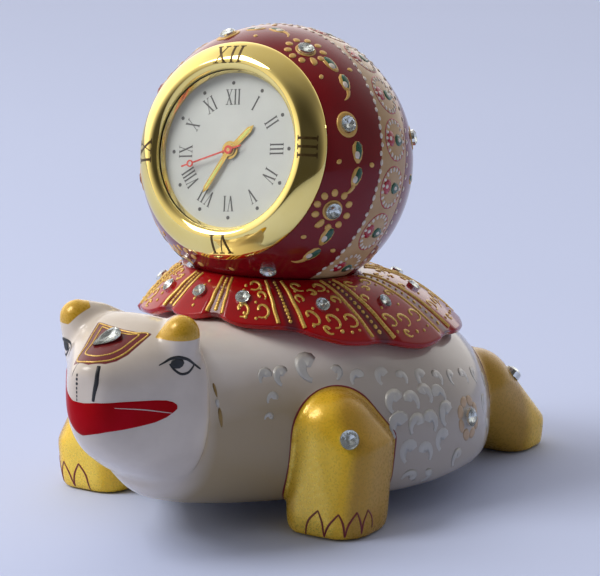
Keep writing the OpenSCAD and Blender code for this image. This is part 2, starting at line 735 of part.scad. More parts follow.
// Motion work under the dial
module hour_wheel() {
    color(brass) in_clock() difference() {
        union() {
            wheel_at(n_hour, m_hour, z_hour, wheel_t, ph_hour);
            post(pipe_r, z_hour - 0.15, hour_hand_z + hand_t);
        }
        post(pipe_in, -3, 4);
    }
}
module cannon_pinion() {
    color(steel) in_clock() difference() {
        union() {
            wheel_at(n_cannon, m_minute, z_cannon, 1.2, ph_cannon);
            post(cannon_r, plate_low - 1.8, minute_hand_z + hand_t);
        }
        post(cannon_in, -8, 5);
    }
}
module minute_wheel() {
    color(brass) in_clock() at(minute_xy) {
        wheel_at(n_minute, m_minute, z_minute, 0.6, ph_minute);
        wheel_at(n_minute_pin, m_hour, z_minute_pin, 1.7, ph_minute_pin);
        post(set_r, z_minute + 0.2, cover_low - 1.6);
    }
}
module set_knob() {
    color(black) in_clock() at(minute_xy) difference() {
        post(2.2, cover_low - 0.15, cover_low - 0.15 - knob_h);
        post(set_r + fixed_gap, 0, cover_low - 1.7);
    }
}

// Going train
module centre_wheel() {
    color(brass) in_clock() difference() {
        union() {
            wheel_at(n_centre, m_centre_fit, z_centre, wheel_t, ph_centre);
            post(1.5, arbor_top, z_centre - 0.4);
        }
        post(cannon_r + run_gap, 0, -8);
    }
}
module third_wheel() {
    color(brass) in_clock() at(third_xy) {
        wheel_at(n_third, m_third, z_third, wheel_t, ph_third);
        wheel_at(n_third_pin, m_centre_fit, z_third_pin, 1.1, ph_third_pin);
        post(0.4, arbor_top, arbor_low);
        post(pivot_r, plate_low + 0.9, bridge_low + 0.1);
    }
}
module second_wheel() {
    color(brass) in_clock() {
        wheel_at(n_second, m_seconds, z_second, wheel_t, ph_second);
        wheel_at(n_second_pin, m_third, z_second_pin, 1, ph_second_pin);
        post(second_arbor_r, arbor_low, second_hand_z + hand_t);
        post(pivot_r, arbor_low + 0.2, bridge_low + 0.1);
    }
}
module intermediate_wheel() {
    color(brass) in_clock() at(inter_xy) {
        wheel_at(n_inter, m_rotor, z_inter, wheel_t, ph_inter);
        wheel_at(n_inter_pin, m_seconds, z_inter_pin, 0.9, ph_inter_pin);
        post(0.4, arbor_top - 0.2, arbor_low);
        post(pivot_r, plate_low + 0.9, bridge_low + 0.1);
    }
}
module rotor_pinion() {
    color(white) in_clock() at(rotor_xy) {
        wheel_at(n_rotor, m_rotor, z_rotor, 0.9, ph_rotor);
        post(0.4, arbor_top - 0.2, arbor_low);
        post(pivot_r, plate_low + 0.9, bridge_low + 0.1);
    }
}
module rotor_magnet() {
    color(black) in_clock() at(rotor_xy) difference() {
        post(1.45, magnet_top, magnet_low);
        post(0.4 + fixed_gap, magnet_top + 1, magnet_low - 1);
    }
}

// Motor and circuit
module stator() {
    color(steel) in_clock() translate([0, 0, z_stator]) linear_extrude(1) difference() {
        union() {
            translate(rotor_xy) circle(r = 2.5);
            polygon([rotor_xy - [1.2, 0], rotor_xy + [2.4, 0],
                [-5.95, coil_y - 0.6], [-7.7, coil_y - 0.6]]);
            translate([-8, -7.9]) square([13.4, 1.4]);
            translate([3.4, coil_y - 0.6]) square([2, 3]);
        }
        translate(rotor_xy) circle(r = 1.8);
    }
}
module coil_core() {
    color(steel) in_clock() translate([-7.4, coil_y - 0.5, z_core]) cube([12.6, 1, 1]);
}
module coil_winding() {
    color(copper) in_clock() difference() {
        translate([-5.6, coil_y, coil_z]) rotate([0, 90, 0]) cylinder(r = coil_r, h = 8.6);
        translate([-8, coil_y - 0.5 - fixed_gap, z_core - fixed_gap])
            cube([14, 1 + 2 * fixed_gap, 1 + 2 * fixed_gap]);
    }
}
module circuit_board() {
    color(green) in_clock() translate([0, 0, bridge_low - 0.65]) linear_extrude(0.6) difference() {
        intersection() {
            circle(r = tube_in - 0.4);
            translate([-15, -15]) square([30, 14]);
        }
        translate(minute_xy) circle(r = set_r + 0.3);
        circle(r = 1.2);
        for (a = pillar_dirs) translate(polar(pillar_at, a)) circle(r = 1.1);
        translate(rotor_xy) circle(r = 0.6);
    }
}
module chip() {
    color(black) in_clock() translate([-4.6, -7.4, bridge_low - 1.57]) cube([2.6, 2.6, 0.9]);
}
module quartz_can() {
    color(steel) in_clock() translate([-3, -10, bridge_low - 0.66 - 0.76])
        rotate([0, 90, 0]) cylinder(r = 0.75, h = 5.2);
}
cell_top = bridge_low - 0.24;
module battery() {
    color(steel) in_clock() at(cell_xy) {
        post(cell_d / 2, cell_top - 0.6, cell_top - cell_h);
        post(0.4 * cell_d, cell_top, cell_top - 0.7);
    }
}
module negative_contact() {
    color(brass) in_clock() translate([0, 0, bridge_low - 0.22]) linear_extrude(0.2) difference() {
        union() {
            translate(cell_xy) circle(r = 2.8);
            translate([cell_xy[0] - 0.8, -0.9]) square([1.6, 4]);
        }
        circle(r = 0.6);
    }
}
module positive_contact() {
    x = cell_xy[0] + cell_d / 2 + 0.05;
    color(brass) in_clock() {
        translate([x, cell_xy[1] - 1.6, -back_depth + 1]) cube([0.25, 3.2, back_depth + bridge_low - 1.05]);
        translate([x, -3, bridge_low - 0.9]) cube([0.25, cell_xy[1] + 2, 0.22]);
    }
}
module back_cover() {
    color(white) in_clock() difference() {
        union() {
            post(tube_r, -back_depth - fixed_gap, cover_low);
            difference() {
                post(tube_in - fixed_gap, -back_depth - 0.1, -back_depth + 0.8);
                post(tube_in - 0.8, -20, 0);
            }
        }
        at(cell_xy) post(cell_d / 2 + 0.6, -back_depth + 0.5, -20);
        at(minute_xy) post(set_r + run_gap, 0, -20);
    }
}
module battery_cap() {
    r = cell_d / 2 + 0.6 - run_gap;
    color(white) in_clock() at(cell_xy) difference() {
        post(r, -back_depth - 0.05, cover_low);
        translate([-r + 1.5, -0.5, cover_low - 1]) cube([2 * r - 3, 1, 1.6]);
    }
}

tortoise_body();
shell_cap();
clock_ball();
head_stone();
leg_stones();
flank_stones();
shell_stones();
ball_stones_front();
ball_stones_back();
bezel();
crystal();
reflector_ring();
dial();
case_cup();
grip_ring();
hour_hand();
minute_hand();
second_hand();
main_plate();
train_bridge();
hour_wheel();
minute_wheel();
cannon_pinion();
centre_wheel();
third_wheel();
second_wheel();
intermediate_wheel();
rotor_pinion();
rotor_magnet();
stator();
coil_core();
coil_winding();
circuit_board();
chip();
quartz_can();
battery();
positive_contact();
negative_contact();
back_cover();
battery_cap();
set_knob();
case_screws();
bridge_screws();
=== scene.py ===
import bmesh
import bpy
import numpy as np
from math import atan2, copysign, cos, degrees, floor, hypot, pi, radians, sin, sqrt
from mathutils import Matrix, Vector
from mathutils.bvhtree import BVHTree
from mathutils.kdtree import KDTree


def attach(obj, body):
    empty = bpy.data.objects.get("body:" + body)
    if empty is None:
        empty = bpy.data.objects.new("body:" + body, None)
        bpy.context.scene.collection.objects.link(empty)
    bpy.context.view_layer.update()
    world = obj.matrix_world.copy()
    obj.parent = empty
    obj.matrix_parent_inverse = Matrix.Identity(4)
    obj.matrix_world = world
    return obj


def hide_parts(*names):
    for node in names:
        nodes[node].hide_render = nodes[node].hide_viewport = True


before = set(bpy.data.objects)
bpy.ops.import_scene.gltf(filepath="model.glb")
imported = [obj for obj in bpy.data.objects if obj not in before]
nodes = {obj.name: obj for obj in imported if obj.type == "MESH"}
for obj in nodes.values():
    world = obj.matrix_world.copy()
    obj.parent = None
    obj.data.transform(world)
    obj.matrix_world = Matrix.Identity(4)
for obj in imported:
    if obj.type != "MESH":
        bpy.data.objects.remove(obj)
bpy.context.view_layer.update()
mm = 0.001
print("frame loaded:", len(nodes), "nodes")


# Node helpers
def addNode(tree, kind, props=None, **values):
    node = tree.nodes.new(kind)
    for key, value in (props or {}).items():
        setattr(node, key, value)
    for key, value in values.items():
        node.inputs[key.replace("_", " ")].default_value = value
    return node


def wire(tree, source, output, target, socket):
    tree.links.new(source.outputs[output], target.inputs[socket])


def makeGroup(name, inputs, outputs):
    group = bpy.data.node_groups.new(name, "ShaderNodeTree")
    for label, kind, value in inputs:
        group.interface.new_socket(label, in_out="INPUT", socket_type=kind).default_value = value
    for label, kind in outputs:
        group.interface.new_socket(label, in_out="OUTPUT", socket_type=kind)
    return group, group.nodes.new("NodeGroupInput"), group.nodes.new("NodeGroupOutput")


def useGroup(tree, group, **values):
    return addNode(tree, "ShaderNodeGroup", {"node_tree": group}, **values)


floatKind, colourKind = "NodeSocketFloat", "NodeSocketColor"


def makeMottle():  # two colours clouded into each other
    group, start, end = makeGroup(
        "mottle",
        [("Scale", floatKind, 60), ("Spread", floatKind, 0.2),
         ("Colour A", colourKind, (1, 1, 1, 1)), ("Colour B", colourKind, (0.8, 0.8, 0.8, 1))],
        [("Colour", colourKind), ("Mask", floatKind)])
    coords = addNode(group, "ShaderNodeTexCoord")
    noise = addNode(group, "ShaderNodeTexNoise", Detail=4, Roughness=0.55)
    low = addNode(group, "ShaderNodeMath", {"operation": "SUBTRACT"})
    high = addNode(group, "ShaderNodeMath", {"operation": "ADD"})
    low.inputs[0].default_value = high.inputs[0].default_value = 0.5
    ramp = addNode(group, "ShaderNodeMapRange")
    blend = addNode(group, "ShaderNodeMix", {"data_type": "RGBA"})
    wire(group, coords, "Object", noise, "Vector")
    wire(group, start, "Scale", noise, "Scale")
    wire(group, start, "Spread", low, 1)
    wire(group, start, "Spread", high, 1)
    wire(group, noise, "Fac", ramp, "Value")
    wire(group, low, 0, ramp, "From Min")
    wire(group, high, 0, ramp, "From Max")
    wire(group, ramp, "Result", blend, "Factor")
    group.links.new(start.outputs["Colour A"], blend.inputs[6])
    group.links.new(start.outputs["Colour B"], blend.inputs[7])
    group.links.new(blend.outputs[2], end.inputs["Colour"])
    wire(group, ramp, "Result", end, "Mask")
    return group


def makeRelief():  # fine unevenness of a surface, as a height in metres
    group, start, end = makeGroup(
        "relief", [("Scale", floatKind, 400), ("Depth", floatKind, 0.00002)], [("Height", floatKind)])
    coords = addNode(group, "ShaderNodeTexCoord")
    noise = addNode(group, "ShaderNodeTexNoise", Detail=3)
    scale = addNode(group, "ShaderNodeMath", {"operation": "MULTIPLY"})
    wire(group, coords, "Object", noise, "Vector")
    wire(group, start, "Scale", noise, "Scale")
    wire(group, noise, "Fac", scale, 0)
    wire(group, start, "Depth", scale, 1)
    wire(group, scale, 0, end, "Height")
    return group


def makeFlake():  # glitter: every small cell has its own tone and height
    group, start, end = makeGroup(
        "flake", [("Scale", floatKind, 3000), ("Depth", floatKind, 0.00003)],
        [("Tone", floatKind), ("Height", floatKind)])
    coords = addNode(group, "ShaderNodeTexCoord")
    cells = addNode(group, "ShaderNodeTexVoronoi")
    split = addNode(group, "ShaderNodeSeparateColor")
    scale = addNode(group, "ShaderNodeMath", {"operation": "MULTIPLY"})
    wire(group, coords, "Object", cells, "Vector")
    wire(group, start, "Scale", cells, "Scale")
    wire(group, cells, "Color", split, "Color")
    wire(group, cells, "Distance", scale, 0)
    wire(group, start, "Depth", scale, 1)
    wire(group, split, "Red", end, "Tone")
    wire(group, scale, 0, end, "Height")
    return group


def makeEdge():  # turns a painted distance into a mask with a narrow soft edge
    group, start, end = makeGroup(
        "paintEdge", [("Distance", floatKind, 0), ("Softness", floatKind, 0.06)], [("Mask", floatKind)])
    flip = addNode(group, "ShaderNodeMath", {"operation": "MULTIPLY"})
    flip.inputs[1].default_value = -1
    ramp = addNode(group, "ShaderNodeMapRange")
    wire(group, start, "Softness", flip, 0)
    wire(group, start, "Distance", ramp, "Value")
    wire(group, flip, 0, ramp, "From Min")
    wire(group, start, "Softness", ramp, "From Max")
    wire(group, ramp, "Result", end, "Mask")
    return group


mottle, relief, flake, paintEdge = makeMottle(), makeRelief(), makeFlake(), makeEdge()


def startMaterial(name):
    material = bpy.data.materials.new(name)
    material.use_nodes = True
    tree = material.node_tree
    return material, tree, tree.nodes["Principled BSDF"]


def addBump(tree, shader, source, output):
    bump = addNode(tree, "ShaderNodeBump", Strength=1.0, Distance=1.0)
    wire(tree, source, output, bump, "Height")
    wire(tree, bump, "Normal", shader, "Normal")


def finish(name, colourA, colourB, scale=300, roughness=(0.3, 0.45), metallic=0.0, coat=0.0,
           grain=900, depth=0.00001, glitter=0, specular=0.5):
    material, tree, shader = startMaterial(name)
    clouds = useGroup(tree, mottle, Scale=scale, Spread=0.22, Colour_A=(*colourA, 1), Colour_B=(*colourB, 1))
    wire(tree, clouds, "Colour", shader, "Base Color")
    rough = addNode(tree, "ShaderNodeMapRange", To_Min=roughness[0], To_Max=roughness[1])
    shader.inputs["Metallic"].default_value = metallic
    shader.inputs["Coat Weight"].default_value = coat
    shader.inputs["Coat Roughness"].default_value = 0.06
    shader.inputs["Specular IOR Level"].default_value = specular
    if glitter:
        cells = useGroup(tree, flake, Scale=glitter, Depth=depth)
        wire(tree, cells, "Tone", rough, "Value")
        addBump(tree, shader, cells, "Height")
    else:
        grainNode = useGroup(tree, relief, Scale=grain, Depth=depth)
        wire(tree, clouds, "Mask", rough, "Value")
        addBump(tree, shader, grainNode, "Height")
    wire(tree, rough, "Result", shader, "Roughness")
    return material


# Finishes of paint, metal, stone setting and movement: two colours, scale of the clouds, roughness from
# and to, metallic, coat, scale of the grain, its depth in metres, scale of the glitter, specular
finishRows = {
    "goldLine": ((0.62, 0.36, 0.05), (0.84, 0.55, 0.13), 700, (0.2, 0.45), 0.4, 0.2, 900, 0.00002, 4200),
    "goldDab": ((0.60, 0.33, 0.07), (0.74, 0.46, 0.13), 600, (0.3, 0.5), 0.2, 0.2, 2500),
    "whiteDot": ((0.80, 0.72, 0.62), (0.66, 0.58, 0.50), 900, (0.25, 0.4), 0, 0.2, 2500),
    "greenDrop": ((0.005, 0.06, 0.03), (0.01, 0.12, 0.06), 700, (0.2, 0.35), 0, 0.2, 2000),
    "redDrop": ((0.34, 0.006, 0.02), (0.46, 0.012, 0.035), 700, (0.2, 0.35), 0, 0.2, 2000),
    "tanPetal": ((0.50, 0.34, 0.20), (0.56, 0.41, 0.28), 600, (0.4, 0.55), 0.05, 0, 2500),
    "darkRedLine": ((0.14, 0.003, 0.008), (0.22, 0.006, 0.014), 900, (0.3, 0.45), 0, 0.1, 2500),
    "maroonRim": ((0.13, 0.008, 0.010), (0.18, 0.014, 0.016), 700, (0.25, 0.4), 0, 0.2, 2000),
    "mouthRed": ((0.33, 0.0004, 0.0006), (0.43, 0.0015, 0.009), 110, (0.25, 0.4),
                 0, 0, 700, 0.00003, 0, 0.05),
    "blackInk": ((0.006, 0.007, 0.008), (0.02, 0.022, 0.024), 900, (0.35, 0.55), 0, 0, 2500),
    "pearl": ((0.57, 0.56, 0.53), (0.50, 0.49, 0.465), 500, (0.3, 0.45), 0.05, 0.15, 2500),
    "bronzeDab": ((0.24, 0.15, 0.04), (0.36, 0.24, 0.08), 900, (0.3, 0.5), 0.3, 0, 2500),
    "polishedGold": ((0.98, 0.79, 0.29), (0.93, 0.72, 0.22), 120, (0.04, 0.08), 1.0, 0.0, 300, 0.000004),
    "darkGold": ((0.055, 0.032, 0.005), (0.11, 0.062, 0.012), 900, (0.3, 0.5), 0.5, 0, 2500),
    "handGold": ((0.72, 0.47, 0.10), (0.82, 0.56, 0.15), 500, (0.15, 0.28), 1.0, 0, 2500),
    "lume": ((0.56, 0.58, 0.10), (0.66, 0.66, 0.20), 700, (0.5, 0.7), 0, 0, 3000, 0.00003),
    "redHand": ((0.55, 0.03, 0.015), (0.68, 0.06, 0.03), 500, (0.2, 0.35), 0, 0.3, 2000),
    "dialSilver": ((0.51, 0.525, 0.50), (0.46, 0.475, 0.455), 150, (0.42, 0.55), 0.08, 0, 6000),
    "dialInk": ((0.02, 0.02, 0.022), (0.05, 0.05, 0.05), 900, (0.4, 0.6), 0, 0, 3000),
    "whiteCase": ((0.66, 0.65, 0.61), (0.74, 0.73, 0.70), 200, (0.35, 0.5), 0, 0, 1800),
    "blackRubber": ((0.012, 0.012, 0.013), (0.03, 0.03, 0.03), 400, (0.6, 0.8), 0, 0, 1500, 0.00003),
    "brass": ((0.62, 0.43, 0.14), (0.72, 0.53, 0.20), 600, (0.2, 0.34), 1.0, 0, 2500),
    "steel": ((0.52, 0.52, 0.53), (0.64, 0.64, 0.65), 500, (0.18, 0.34), 1.0, 0, 2500),
    "darkSteel": ((0.12, 0.12, 0.13), (0.20, 0.20, 0.21), 500, (0.3, 0.45), 0.9, 0, 2500),
    "copperWire": ((0.50, 0.17, 0.06), (0.62, 0.25, 0.10), 900, (0.25, 0.4), 0.9, 0.4, 5000, 0.00006),
    "boardGreen": ((0.01, 0.09, 0.04), (0.02, 0.15, 0.07), 500, (0.3, 0.45), 0, 0.3, 1800),
    "chipBlack": ((0.01, 0.01, 0.011), (0.03, 0.03, 0.03), 700, (0.5, 0.65), 0, 0, 2500, 0.00003),
    "ivoryPinion": ((0.60, 0.58, 0.50), (0.70, 0.68, 0.62), 500, (0.3, 0.45), 0, 0, 2500),
    "stoneFoil": ((0.93, 0.95, 0.93), (0.78, 0.82, 0.79), 900, (0.06, 0.15), 0.9, 0, 2500),
}
finishes = {name: finish(name, *row) for name, row in finishRows.items()}
print("finishes:", len(finishes))


def makeGlass(name, tint, ior):
    material, tree, shader = startMaterial(name)
    clouds = useGroup(tree, mottle, Scale=40, Spread=0.3, Colour_A=(*tint, 1), Colour_B=(0.97, 0.98, 0.98, 1))
    wire(tree, clouds, "Colour", shader, "Base Color")
    shader.inputs["Roughness"].default_value = 0.0
    shader.inputs["IOR"].default_value = ior
    shader.inputs["Transmission Weight"].default_value = 1.0
    path = addNode(tree, "ShaderNodeLightPath")
    clear = addNode(tree, "ShaderNodeBsdfTransparent")
    pick = addNode(tree, "ShaderNodeMixShader")
    wire(tree, path, "Is Shadow Ray", pick, 0)  # the dial under the crystal is lit
    tree.links.new(shader.outputs[0], pick.inputs[1])
    tree.links.new(clear.outputs[0], pick.inputs[2])
    tree.links.new(pick.outputs[0], tree.nodes["Material Output"].inputs["Surface"])
    return material


finishes["crystalGlass"] = makeGlass("crystalGlass", (0.95, 0.97, 0.97), 1.45)
finishes["stoneGlass"] = makeGlass("stoneGlass", (0.90, 0.95, 0.93), 1.56)


# Mesh helpers
def meshFrom(bm, name):
    mesh = bpy.data.meshes.new(name)
    bm.to_mesh(mesh)
    bm.free()
    return mesh


def newPiece(name, mesh, materials, body, smooth=True):
    piece = bpy.data.objects.new(name, mesh)
    bpy.context.collection.objects.link(piece)
    for material in materials if isinstance(materials, list) else [materials]:
        mesh.materials.append(finishes[material] if isinstance(material, str) else material)
    mesh.polygons.foreach_set("use_smooth", [smooth] * len(mesh.polygons))
    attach(piece, body)
    return piece


def applied(name, mesh, kind, **settings):  # a mesh with one modifier made real
    holder = bpy.data.objects.new(name, mesh)
    bpy.context.collection.objects.link(holder)
    modifier = holder.modifiers.new(kind, kind)
    for key, value in settings.items():
        setattr(modifier, key, value)
    ready = holder.evaluated_get(bpy.context.evaluated_depsgraph_get())
    result = bpy.data.meshes.new_from_object(ready)
    bpy.data.objects.remove(holder)
    return result


def treeOf(mesh):
    bm = bmesh.new()
    bm.from_mesh(mesh)
    tree = BVHTree.FromBMesh(bm)
    bm.free()
    return tree


def vertsIn(geom):
    return [g for g in geom if isinstance(g, bmesh.types.BMVert)]


def surfaceFrame(tree, point, along):  # x runs along, z stands on the surface
    spot, normal = tree.find_nearest(point)[:2]
    side = (along - normal * along.dot(normal)).normalized()
    base = Matrix((side, normal.cross(side), normal)).transposed().to_4x4()
    base.translation = spot
    return base


dabMesh = bpy.data.meshes.new("dab")


def addDab(bm, tree, base, length, width, height, taper=0.0, bend=0.0):  # one brush mark, in mm
    dab = bmesh.new()
    bmesh.ops.create_uvsphere(dab, u_segments=10, v_segments=5, radius=1)
    for v in dab.verts:
        y = v.co.y * (1 - taper * (0.5 + 0.5 * v.co.x)) + bend * (1 - v.co.x ** 2)
        spot, normal = tree.find_nearest(base @ Vector((v.co.x * length / 2 * mm, y * width / 2 * mm, 0)))[:2]
        v.co = spot + normal * v.co.z * height * mm
    dab.to_mesh(dabMesh)
    dab.free()
    bm.from_mesh(dabMesh)


def smoothPath(points, steps):  # rounded line through a few points
    points = [Vector(p) for p in points]
    path = []
    for i in range(len(points) - 1):
        before, after = points[max(i - 1, 0)], points[min(i + 2, len(points) - 1)]
        p, q = points[i], points[i + 1]
        for k in range(steps):
            u = k / steps
            m, n = (q - before) / 2, (after - p) / 2
            path.append(p + m * u + (3 * (q - p) - 2 * m - n) * u * u + (2 * (p - q) + m + n) * u ** 3)
    return path + [points[-1]]


def taperOf(count, start, middle, end):  # brush width along a stroke, in mm
    widths = []
    for k in range(count):
        u = k / max(count - 1, 1)
        widths.append(start + (middle - start) * 2 * u if u < 0.5 else middle + (end - middle) * (2 * u - 1))
    return widths


def strokePiece(name, strokes, tree, press, material):
    curve = bpy.data.curves.new(name, "CURVE")
    curve.dimensions = "3D"
    curve.bevel_depth = mm
    curve.bevel_resolution = 1
    curve.use_fill_caps = True
    for points, widths in strokes:
        spline = curve.splines.new("POLY")
        spline.points.add(len(points) - 1)
        for knot, point, width in zip(spline.points, points, widths):
            knot.co = (*tree.find_nearest(point)[0], 1)
            knot.radius = width / 2
    holder = bpy.data.objects.new(name, curve)
    bpy.context.collection.objects.link(holder)
    mesh = bpy.data.meshes.new_from_object(holder.evaluated_get(bpy.context.evaluated_depsgraph_get()))
    bpy.data.objects.remove(holder)
    mesh.name = name
    for v in mesh.vertices:  # the round line is pressed down to a brush line
        spot, normal = tree.find_nearest(v.co)[:2]
        v.co = spot + normal * (v.co - spot).dot(normal) * press
    newPiece(name, mesh, material, "figure")


def gridLoft(bm, place, around, along):  # closed skin: place(share along, angle round)
    verts = bmesh.ops.create_grid(bm, x_segments=around, y_segments=along, size=1)["verts"]
    for v in verts:
        v.co = place((v.co.y + 1) / 2, (v.co.x + 1) * pi)
    bmesh.ops.remove_doubles(bm, verts=verts, dist=1e-6)
    rims = [e for e in bm.edges if e.is_boundary]
    bmesh.ops.holes_fill(bm, edges=rims, sides=0)
    bmesh.ops.recalc_face_normals(bm, faces=bm.faces)


# Tortoise, in the same shape as the carved solid
tortoise = {
    "bodyLen": 123, "toeReach": 4.6, "bodyWidth": 82, "bellyGap": 2.8, "backHeight": 43,
    "headWidth": 33, "headTop": 48, "earSpan": 26, "earRise": 1.3, "earShift": -0.7,
    "legTrack": 58.4, "legShift": -1.5, "frontFoot": 18.9, "rearFoot": 15,
    "leftLeg": 28.3, "rightLeg": 25, "rearLeg": 24,
    # a front leg's knee: share of the leg's height, set back, narrower there, narrower at the foot
    "leftKnee": (0.55, 2.5, 0.7, 0), "rightKnee": (0.28, 1, 0, 1.6),
    "voxel": 0.6, "polish": 7, "goldReach": 0.75,
}
# place, width, underside, top, height of the widest line, squareness over and under it
torsoRun = [
    (0.143, 0.27, 0.30, 0.97, 0.50, 2.3, 2.3), (0.176, 0.31, 0.22, 0.99, 0.49, 2.3, 2.3),
    (0.200, 0.33, 0.19, 0.99, 0.47, 2.3, 2.3), (0.241, 0.37, 0.15, 0.98, 0.44, 2.3, 2.4),
    (0.322, 0.48, 0.10, 0.953, 0.38, 2.4, 2.8), (0.403, 0.66, 0.08, 0.965, 0.32, 2.4, 3.2),
    (0.485, 0.88, 0.08, 0.965, 0.28, 2.3, 4.0), (0.566, 0.975, 0.08, 0.95, 0.26, 2.3, 4.2),
    (0.639, 1.00, 0.08, 0.93, 0.26, 2.3, 4.2), (0.729, 0.965, 0.08, 0.89, 0.26, 2.3, 4.2),
    (0.810, 0.87, 0.09, 0.845, 0.28, 2.3, 3.4), (0.891, 0.70, 0.12, 0.775, 0.32, 2.2, 2.8),
    (0.948, 0.48, 0.19, 0.68, 0.36, 2.1, 2.3), (0.980, 0.28, 0.27, 0.56, 0.40, 2.0, 2.0),
    (1.000, 0.08, 0.37, 0.45, 0.45, 2.0, 2.0)]
headRun = [
    (0.000, 0.13, 0.64, 0.82, 0.50, 2.4, 2.4), (0.004, 0.22, 0.585, 0.845, 0.50, 2.5, 2.4),
    (0.013, 0.31, 0.53, 0.86, 0.52, 2.6, 2.4), (0.030, 0.42, 0.475, 0.88, 0.54, 2.7, 2.4),
    (0.054, 0.555, 0.42, 0.905, 0.55, 2.8, 2.4), (0.078, 0.685, 0.38, 0.93, 0.56, 2.9, 2.4),
    (0.102, 0.80, 0.34, 0.955, 0.57, 3.0, 2.4), (0.127, 0.90, 0.305, 0.98, 0.57, 3.0, 2.4),
    (0.150, 0.955, 0.27, 0.99, 0.56, 2.9, 2.4), (0.164, 0.955, 0.25, 0.985, 0.55, 2.7, 2.4),
    (0.180, 0.86, 0.24, 0.97, 0.55, 2.5, 2.3), (0.220, 0.62, 0.26, 0.93, 0.55, 2.3, 2.3),
    (0.255, 0.40, 0.32, 0.88, 0.55, 2.2, 2.2)]
snoutY = -(tortoise["bodyLen"] + tortoise["toeReach"]) / 2
frontLegY = snoutY + 0.397 * tortoise["bodyLen"]
rearLegY = -snoutY - tortoise["rearFoot"] / 2
earY = snoutY + 0.128 * tortoise["bodyLen"]


def flow(run, t, c):  # smooth curve through one column of a run
    i = 0
    while i < len(run) - 2 and t >= run[i + 1][0]:
        i += 1

    def lean(k):
        a, b = run[max(0, k - 1)], run[min(len(run) - 1, k + 1)]
        return (b[c] - a[c]) / (b[0] - a[0])
    step = run[i + 1][0] - run[i][0]
    u = (t - run[i][0]) / step
    p, q, s, e = run[i][c], run[i + 1][c], lean(i) * step, lean(i + 1) * step
    return p + s * u + (3 * (q - p) - 2 * s - e) * u * u + (2 * (p - q) + s + e) * u ** 3


def runPoint(run, t, angle, halfWidth, low, high):
    cx, sz = cos(angle), sin(angle)
    power = 2 / flow(run, t, 5 if sz > 0 else 6)
    middle = low + (high - low) * flow(run, t, 4)
    rise = high - middle if sz > 0 else middle - low
    return Vector((halfWidth * copysign(abs(cx) ** power, cx), snoutY + t * tortoise["bodyLen"],
                   middle + rise * copysign(abs(sz) ** power, sz))) * mm


def torsoPoint(t, angle):
    low = tortoise["backHeight"] * (flow(torsoRun, t, 2) - 0.08) + tortoise["bellyGap"]
    return runPoint(torsoRun, t, angle, tortoise["bodyWidth"] / 2 * flow(torsoRun, t, 1), low,
                    tortoise["backHeight"] * flow(torsoRun, t, 3))


def headPoint(t, angle):
    return runPoint(headRun, t, angle, tortoise["headWidth"] / 2 * flow(headRun, t, 1),
                    tortoise["headTop"] * flow(headRun, t, 2), tortoise["headTop"] * flow(headRun, t, 3))


def hullOf(balls, feet=()):  # tight skin round balls (x, y, z, r) and feet (x, y, z, width, height)
    bm = bmesh.new()
    for x, y, z, r in balls:
        bmesh.ops.create_uvsphere(bm, u_segments=40, v_segments=24, radius=r * mm,
                                  matrix=Matrix.Translation(Vector((x, y, z)) * mm))
    for x, y, z, width, height in feet:
        r = 0.36 * width
        for sx in (-1, 1):
            for sy in (-1, 1):
                spot = Vector((x + sx * (width / 2 - r), y + sy * (width / 2 - r), z + height / 2)) * mm
                bmesh.ops.create_cone(bm, cap_ends=True, segments=32, radius1=(r - 0.5) * mm, radius2=r * mm,
                                      depth=height * mm, matrix=Matrix.Translation(spot))
    hull = bmesh.ops.convex_hull(bm, input=bm.verts, use_existing_faces=False)
    spare = set(vertsIn(hull["geom_interior"] + hull["geom_unused"]))
    bmesh.ops.delete(bm, geom=[v for v in spare if v.is_valid], context="VERTS")
    kept = set(hull["geom"])
    loose = [f for f in bm.faces if f not in kept]
    bmesh.ops.delete(bm, geom=loose, context="FACES_ONLY")
    bmesh.ops.recalc_face_normals(bm, faces=bm.faces)
    return bm


def legHulls():
    w, rw, rh = tortoise["frontFoot"], tortoise["rearFoot"], tortoise["rearLeg"]
    hulls = []
    for side, leg in ((-1, "right"), (1, "left")):
        x = side * tortoise["legTrack"] / 2
        fx = x + tortoise["legShift"]
        h = tortoise[leg + "Leg"]
        knee, back, narrow, slim = tortoise[leg + "Knee"]
        hulls.append(hullOf([(fx - 2.2 * side, frontLegY + 1.8, h - 0.49 * w, 0.49 * w)],
                            [(fx, frontLegY, 0, w - slim, 2.5),
                             (fx + 0.35 * side, frontLegY + back, knee * h, w - narrow, 2.5)]))
        hulls.append(hullOf([(x - 3.5 * side, rearLegY - 10.5, rh - 0.6 * rw, 0.6 * rw)],
                            [(x, rearLegY, 0, rw, 6)]))
    return hulls


def earBall(side, inward, back, z, r):  # placed from the ear's outer edge
    return side * (tortoise["earSpan"] / 2 - inward) + tortoise["earShift"], earY + back, z, r


def earHulls():
    root, tip = 0.13 * tortoise["headWidth"], 0.11 * tortoise["headWidth"]
    top, rise = tortoise["headTop"], tortoise["earRise"]
    hulls = []
    for side in (-1, 1):
        hulls.append(hullOf([earBall(side, 3.6, 1.6, top - 2.6 * root, 1.28 * root),
                             earBall(side, 0.4, 0.6, top + rise - tip, tip),
                             earBall(side, 3.5, 4, top + 0.3 * rise - 0.75 * tip, 0.75 * tip),
                             earBall(side, 7.8, 8.4, top - 2.4 - 0.36 * tip, 0.36 * tip)]))
        hulls.append(hullOf([earBall(side, 1, 1, top - 0.5 - tip, tip),
                             earBall(side, 5, 2, top - 2.4 * root, 1.2 * root)]))
    return hulls


